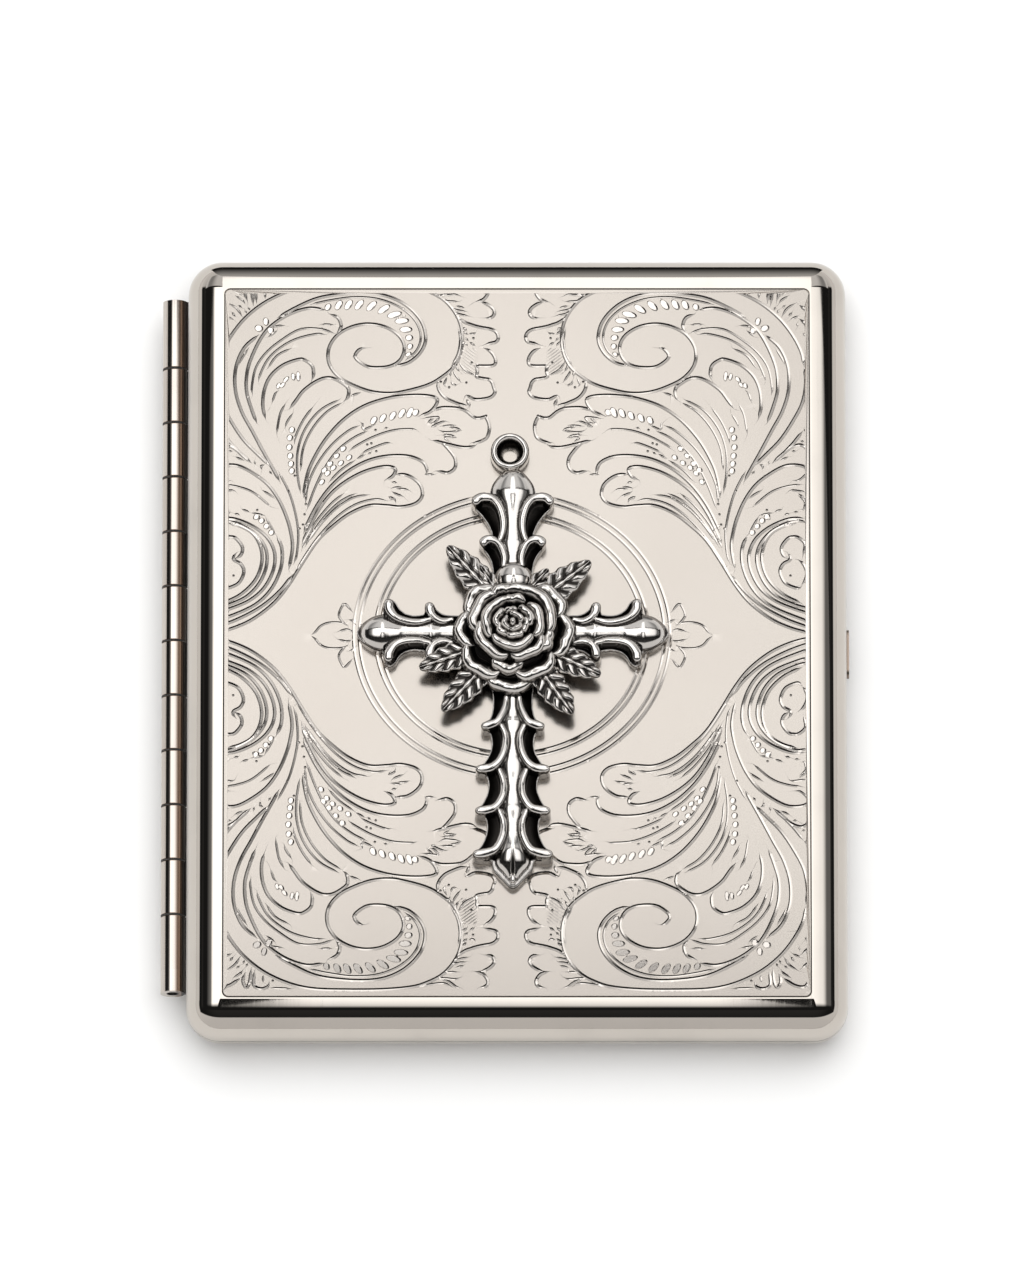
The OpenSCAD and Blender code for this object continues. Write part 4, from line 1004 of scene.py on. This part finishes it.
ornament_middle = (-0.6, 0.74)         # of the engraving, on the plate
outline_width, outline_depth = 0.46, 0.084
ring_depth = 0.058
vein_width, vein_depth = 0.32, 0.060
cut_lean = 0.35                        # how far the bottom of a cut lies off its middle, 0 to 1
steep_side = Vector((-0.86, 0.51))     # the side of every cut that is steep
cut_taper = 0.9                        # length over which the end of a cut runs out
bead_floor, bead_fall = 0.060, 0.035   # depth of a bead at its shallow side, and its slope
thin_wall, wide_wall = 0.09, 0.15      # a bead's wall, and how much wider its deep side has it
dot_radius, dot_depth = 0.17, 0.09
oval_reach = 1.1                       # beyond the longest bead's half length
hatch_width, hatch_depth = 0.16, 0.018
border_width, border_depth = 0.30, 0.05
plate_edge = 0.16                      # width of the bevel round the plate
plate_drop = 0.09                      # and how deep it is
plate_low, plate_high = (np.array(corner)/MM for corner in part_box("lid_plate"))
border_inset = 0.48                    # of the cut line that runs round the plate
plate_reach = plate_high[:2] - border_inset - 0.12
corner_radius = 0.8


def mirrored(point_list):
    """A stroke in all four quarters of the plate."""
    for sx in (1, -1):
        for sy in (1, -1):
            yield [(ornament_middle[0] + sx*u, ornament_middle[1] + sy*v) for u, v in point_list]


def rounded(inset, count=10):
    """The plate's outline, so far in from its edge."""
    x, y = plate_high[0] - inset, plate_high[1] - inset
    r = max(corner_radius - inset, 0.15)
    points = []
    for k, (sx, sy) in enumerate(((1, 1), (-1, 1), (-1, -1), (1, -1))):
        for i in range(count + 1):
            turn = math.pi/2*(k + i/count)
            points.append((sx*(x - r) + r*math.cos(turn), sy*(y - r) + r*math.sin(turn)))
    return points


strokes = []                           # line, half width, depth, closed
for group, width, depth in ((outline_cuts, outline_width, outline_depth),
                            (vein_cuts, vein_width, vein_depth), (flower_cuts, vein_width, vein_depth)):
    for points in group:
        for line in mirrored(points):
            strokes.append((spline(line, 0.24), width/2, depth, False))
for half_width, half_height in rings:
    turns = np.linspace(0, 2*math.pi, 320, endpoint=False)
    line = np.column_stack([ornament_middle[0] + half_width*np.cos(turns),
                            ornament_middle[1] + half_height*np.sin(turns)])
    strokes.append((line, outline_width/2, ring_depth, True))
border_line = spline(rounded(border_inset, 5), 0.3, closed=True)
for k in range(-4, 9):
    start = (hatch_low[0], hatch_low[1] + hatch_spacing*k)
    end = (hatch_high[0], start[1] + (hatch_high[0] - hatch_low[0])*hatch_slope)
    if start[1] < hatch_low[1]:
        start = (hatch_low[0] + (hatch_low[1] - start[1])/hatch_slope, hatch_low[1])
    if end[1] > hatch_high[1]:
        end = (hatch_high[0] - (end[1] - hatch_high[1])/hatch_slope, hatch_high[1])
    if end[0] - start[0] > 0.3:
        for line in mirrored([start, end]):
            strokes.append((spline(line, 0.3), hatch_width/2, hatch_depth, False))
strokes.append((border_line, border_width/2, border_depth, True))

flat_points, bottom_lines = [], []
samples, sample_data = [], []          # for finding the nearest cut
for number, (line, half_width, depth, closed) in enumerate(strokes):
    ahead = np.roll(line, -1, 0) - np.roll(line, 1, 0)
    if not closed:
        ahead[0], ahead[-1] = line[1] - line[0], line[-1] - line[-2]
    ahead /= np.linalg.norm(ahead, axis=1)[:, None]
    side = np.column_stack([-ahead[:, 1], ahead[:, 0]])
    facing = side @ np.array(steep_side)
    side[facing < 0] *= -1
    facing = np.abs(facing)
    steps = np.linalg.norm(np.diff(line, axis=0), axis=1)
    run = np.concatenate([[0], np.cumsum(steps)])
    if closed:
        taper = np.ones(len(line))
    else:
        length = cut_taper if run[-1] > 3*cut_taper else run[-1]/3 + 0.01
        taper = 0.12 + 0.88*ease(np.minimum(run, run[-1] - run), 0, length)
    bottom = line + side*(half_width*taper*cut_lean*facing)[:, None]
    row = []
    for i in range(len(line)):
        w = half_width*taper[i]
        flat_points += [line[i] + side[i]*w, line[i] - side[i]*w]
        row.append(len(flat_points))
        flat_points.append(bottom[i])
        data = (number, side[i], w, depth*taper[i], w*cut_lean*facing[i])
        samples.append(line[i])
        sample_data.append(data)
        if i + 1 < len(line):
            for t in (1/3, 2/3):
                samples.append(line[i]*(1 - t) + line[i + 1]*t)
                sample_data.append(data)
    bottom_lines += list(zip(row, row[1:] + (row[:1] if closed else [])))

ovals = []                             # middle, along, across, half length, half width, is a dot
for u, v, angle, length, width in beads:
    turn = math.radians(angle)
    for line in mirrored([(u, v), (u + math.cos(turn), v + math.sin(turn))]):
        middle, along = np.array(line[0]), np.array(line[1]) - np.array(line[0])
        ovals.append((middle, along, np.array([-along[1], along[0]]), length/2, width/2, False))
for spot in dots:
    for line in mirrored([spot]):
        ovals.append((np.array(line[0]), np.array([1.0, 0]), np.array([0, 1.0]),
                      dot_radius, dot_radius, True))
fall_side = np.array((0.86, -0.51))    # the side of a bead that is cut deepest


def bead_wall(way, reach):
    """Width of a bead's wall: its deep side has the wider one."""
    return min(thin_wall + wide_wall*max(0.0, float(way @ fall_side)), 0.55*reach)


for middle, along, across, half_length, half_width, is_dot in ovals:
    flat_points.append(middle)
    count = 10 if is_dot else 18
    for k in range(count):
        turn = 2*math.pi*k/count
        out = along*half_length*math.cos(turn) + across*half_width*math.sin(turn)
        flat_points.append(middle + out)
        if not is_dot:
            reach = np.linalg.norm(out)
            flat_points.append(middle + out*(1 - bead_wall(out/reach, reach)/reach))

# strokes and ovals give way where they would leave the plate
flat_points = np.array(flat_points)
kept = (np.abs(flat_points[:, 0]) < plate_reach[0]) & (np.abs(flat_points[:, 1]) < plate_reach[1])
new_number = np.cumsum(kept) - 1
bottom_lines = [(int(new_number[a]), int(new_number[b])) for a, b in bottom_lines if kept[a] and kept[b]]
flat_points = flat_points[kept]

inner_edge = rounded(plate_edge)
grid = [(x, y) for x in np.arange(-35, 35.1, 1.25) for y in np.arange(-44, 44.1, 1.25)
        if abs(x) < plate_reach[0] and abs(y) < plate_reach[1]]
first = len(inner_edge)
start = first + len(flat_points)
points_2d = [Vector(p) for p in inner_edge] + [Vector(p) for p in flat_points] + [Vector(p) for p in grid]
links = [(i, (i + 1) % first) for i in range(first)] + [(a + first, b + first) for a, b in bottom_lines]
points_2d, _, faces_2d, *_ = delaunay_2d_cdt(points_2d, links, [list(range(first))], 1, 0.004)

tree = point_tree(samples)
oval_tree = point_tree([middle for middle, *_ in ovals])
widest = outline_width/2 + 0.05


def cut_depth(x, y):
    """Depth of the engraving at a point, and whether the point lies in a cut."""
    deepest = 0.0
    seen = set()
    for place, i, _ in sorted(tree.find_range((x, y, 0), widest + 0.09), key=lambda hit: hit[2]):
        number, side, w, depth, lean = sample_data[i]
        if number in seen:
            continue
        seen.add(number)
        s = (x - place[0])*side[0] + (y - place[1])*side[1]
        if abs(s) < w:
            share = (w - s)/(w - lean) if s > lean else (w + s)/(w + lean)
            deepest = max(deepest, depth*share)
    for _, i, _ in oval_tree.find_range((x, y, 0), oval_reach):
        middle, along, across, half_length, half_width, is_dot = ovals[i]
        out = np.array([x, y]) - middle
        share = math.hypot(out @ along/half_length, out @ across/half_width)
        if share >= 0.999:
            continue
        if is_dot:
            deepest = max(deepest, dot_depth*(1 - share))
            continue
        floor = bead_floor + bead_fall*(float(out @ fall_side) + half_width)
        length = max(float(np.linalg.norm(out)), 1e-6)
        reach = length/max(share, 1e-6)
        wall = bead_wall(out/length, reach)
        deepest = max(deepest, max(floor, 0.02)*min(1.0, (reach - length)/wall))
    return deepest


top_z, low_z = plate_high[2], plate_low[2]
depths = [cut_depth(p[0], p[1]) if i >= first else 0.0 for i, p in enumerate(points_2d)]
points = [(p[0], p[1], top_z - d) for p, d in zip(points_2d, depths)]
cut = [min(1.0, d/0.03) for d in depths]
faces = [tuple(f) for f in faces_2d]
outer = rounded(0)
rim_start = len(points)
points += [(x, y, top_z - plate_drop) for x, y in outer] + [(x, y, low_z) for x, y in outer]
cut += [0.5]*(2*first)
for i in range(first):
    j = (i + 1) % first
    faces.append((i, rim_start + i, rim_start + j, j))
    faces.append((rim_start + i, rim_start + first + i, rim_start + first + j, rim_start + j))
faces.append(tuple(rim_start + first + i for i in reversed(range(first))))

plate = mesh_piece("engraved_plate", points, faces, engraved_nickel("engraved_nickel"), smooth=False)
set_layer(plate.data, "cut", cut)
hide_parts("lid_plate")
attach(plate, "lid")


# ---------- hinge ----------
# Twelve rolled knuckles on a steel pin. The outer side is left bright; painted shade turns the side toward
# the case brown, then black. The seams and the open ends are black. Each knuckle took the plating
# differently.
hinge_axis = (-41.65*MM, 4.7*MM)       # x, z
first_seam, knuckle_pitch = 35.5*MM, 6.9*MM
seam_count = 11


def hinge_stain_and_shade(g, x, y, z):
    out, up = g.math("SUBTRACT", x, hinge_axis[0]), g.math("SUBTRACT", z, hinge_axis[1])
    radius = g.math("SQRT", g.math("ADD", g.math("MULTIPLY", out, out), g.math("MULTIPLY", up, up)))
    turn = g.math("DIVIDE", g.math("SUBTRACT", first_seam, y), knuckle_pitch)
    beside = g.math("MULTIPLY", g.math("PINGPONG", turn, 0.5), knuckle_pitch)
    seam = g.step(beside, 0.10*MM, 0.24*MM, 1, 0)
    seam = g.math("MULTIPLY", seam, g.math("COMPARE", turn, (seam_count - 1)/2, seam_count/2))
    number = add_node(g.nodes, "ShaderNodeTexWhiteNoise", noise_dimensions="1D")
    g.put(number.inputs["W"], g.math("FLOOR", g.math("MAXIMUM", turn, -0.5)))
    tone = g.math("MULTIPLY", number.outputs["Value"], 0.10)
    # painted shade: the barrel's side toward the case is darkened, brown then black
    side = g.math("MULTIPLY", g.step(out, 0.15*MM, 0.60*MM), 0.48)
    side = g.math("MAXIMUM", side, g.math("MULTIPLY", g.step(out, 0.80*MM, 1.15*MM), 0.96))
    bore = g.step(radius, 0.72*MM, 0.80*MM, 1, 0)
    dark = g.math("MAXIMUM", g.math("MAXIMUM", seam, bore), g.math("ADD", side, tone))
    return g.math("MINIMUM", dark, 1.0)


set_material(worn_metal("hinge_nickel", (0.56, 0.515, 0.47), 0.07, 0.05, 0.10, 0.05, 0.1, hinge_stain_and_shade),
             "hinge_base_leaf", "hinge_lid_leaf")


# ---------- steel inside ----------
# The hinge pin, the rivets, and the catch: a flat spring with its hook, its bracket and the strike.
# Bare steel with drawn lines. The catch has a brown temper colour that deepens toward one end.
def temper(g, x, y, z):
    return g.step(y, -0.020, 0.002, 0.10, 0.34)


set_material(worn_metal("spring_steel", (0.50, 0.50, 0.505), 0.26, 0.10, 0.12, 0.06, 0.4, temper),
             "latch_bracket", "latch_spring", "latch_hook", "lid_strike")
set_material(worn_metal("drawn_wire", (0.52, 0.51, 0.50), 0.20, 0.08, 0.16, 0.02, 0.3),
             "hinge_pin", "latch_rivets", "cross_rivets", "rose_rivet")
for name in ("hinge_base_leaf", "hinge_lid_leaf", "hinge_pin"):
    nodes[name].visible_glossy = False


# ---------- push button ----------
# The oblong end of the button in the front wall. Thumbs have worn its face to brown metal; the
# slot round it and the button's ends are darker.
def button_wear_and_darkening(g, x, y, z):
    # darker in the slot round the button and at the button's ends
    slot_darkening = g.step(x, 40.02*MM, 40.14*MM, 1.0, 0.36)
    ends = g.step(g.math("ABSOLUTE", y), 2.95*MM, 3.10*MM, 0.0, 0.9)
    return g.math("MAXIMUM", slot_darkening, ends)


set_material(worn_metal("button_nickel", (0.50, 0.455, 0.41), 0.12, 0.08, 0.10, 0.1, 0.2, button_wear_and_darkening),
             "push_button")


# ---------- linings ----------
# Card boards, each under a thin pad covered in wine velvet. The cover pulls the pad's edges in
# between its corners and rounds them over, and the short pile lies in soft patches.
def card_material():
    s = Surface("paper_card")
    fibre = s.noise(900, 8, distortion=2.5)
    s.set({"Base Color": s.blend(fibre, (0.14, 0.11, 0.09, 1), (0.27, 0.23, 0.19, 1)), "Roughness": 0.85})
    s.bump(fibre, 0.35, 0.00005)
    return s.material


def velvet_material():
    s = Surface("wine_velvet")
    patches, pile = s.noise(45, 2), s.noise(3000, 5)
    lie = s.math("MULTIPLY_ADD", s.step(pile, 0.35, 0.65), 0.55, s.step(patches, 0.30, 0.72, 0.0, 0.35))
    s.set({"Base Color": s.blend(lie, (0.050, 0.003, 0.010, 1), (0.190, 0.012, 0.032, 1)),
           "Roughness": 0.9, "Specular IOR Level": 0.1, "Sheen Weight": 0.45, "Sheen Roughness": 0.35,
           "Sheen Tint": (0.80, 0.22, 0.30, 1)})
    s.bump(s.math("MULTIPLY_ADD", patches, 0.8, pile), 0.55, 0.00015)
    return s.material


pad_corner = 1.5                       # millimetres, as the numbers below
pad_pull = 0.22                        # how far its sides pull in between its corners
pad_edge = 1.1                         # width of its rounded edge
pad_crown = 0.30                       # how far its middle stands over its solid


def velvet_pad(name, node, body, facing):
    """A pad on a lining's solid; facing is 1 where its velvet looks up at rest, -1 where it looks down."""
    low, high = (np.array(corner)/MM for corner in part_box(node))
    middle, half = (low + high)/2, (high - low)/2
    back = low[2] if facing > 0 else high[2]
    thick = high[2] - low[2]
    columns, rows = 110, 138
    v, u = np.meshgrid(np.linspace(-1, 1, rows + 1), np.linspace(-1, 1, columns + 1), indexing="ij")
    x, y = half[0]*u, half[1]*v
    corner = half[:2] - pad_corner
    over_x, over_y = np.abs(x) - corner[0], np.abs(y) - corner[1]
    reach = np.hypot(over_x, over_y)
    in_corner = (over_x > 0) & (over_y > 0)
    outside = in_corner & (reach > pad_corner)
    x = np.where(outside, np.sign(x)*(corner[0] + over_x*pad_corner/np.maximum(reach, 0.01)), x)
    y = np.where(outside, np.sign(y)*(corner[1] + over_y*pad_corner/np.maximum(reach, 0.01)), y)
    gap = np.minimum(half[0] - np.abs(x), half[1] - np.abs(y))
    bend = pad_corner - np.hypot(np.maximum(np.abs(x) - corner[0], 0), np.maximum(np.abs(y) - corner[1], 0))
    gap = np.clip(np.where(in_corner, bend, gap), 0, None)
    x = x*(1 - pad_pull/half[0]*np.cos(math.pi/2*v))
    y = y*(1 - pad_pull/half[1]*np.cos(math.pi/2*u))
    round_over = np.sqrt(np.clip(1 - (1 - np.clip(gap/pad_edge, 0, 1))**2, 0, 1))
    crown = pad_crown*ease(gap, 0, 16)
    waves = 0.035*np.sin(0.31*x + 0.9*np.sin(0.17*y)) + 0.03*np.sin(0.27*y + 1.1*np.sin(0.21*x))
    puckers = 0.03*np.exp(-gap/1.6)*np.sin(2.1*x + 1.3)*np.sin(1.9*y)
    rise = round_over*(thick*0.97 + crown + (waves + puckers)*ease(gap, 0, 2))
    count = x.size
    face = np.column_stack([x.ravel(), y.ravel(), rise.ravel()*facing])
    flat = np.column_stack([x.ravel(), y.ravel(), np.full(count, 0.02*facing)])
    points = np.vstack([face, flat]) + [middle[0], middle[1], back]
    faces = [face[::facing] for face in closed_sheet(rows, columns)]
    pad = mesh_piece(name, points, faces, velvet_look)
    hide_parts(node)
    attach(pad, body)


set_material(card_material(), "base_board", "lid_board")
velvet_look = velvet_material()
velvet_pad("base_velvet_pad", "base_velvet", "base", 1)
velvet_pad("lid_velvet_pad", "lid_velvet", "lid", -1)
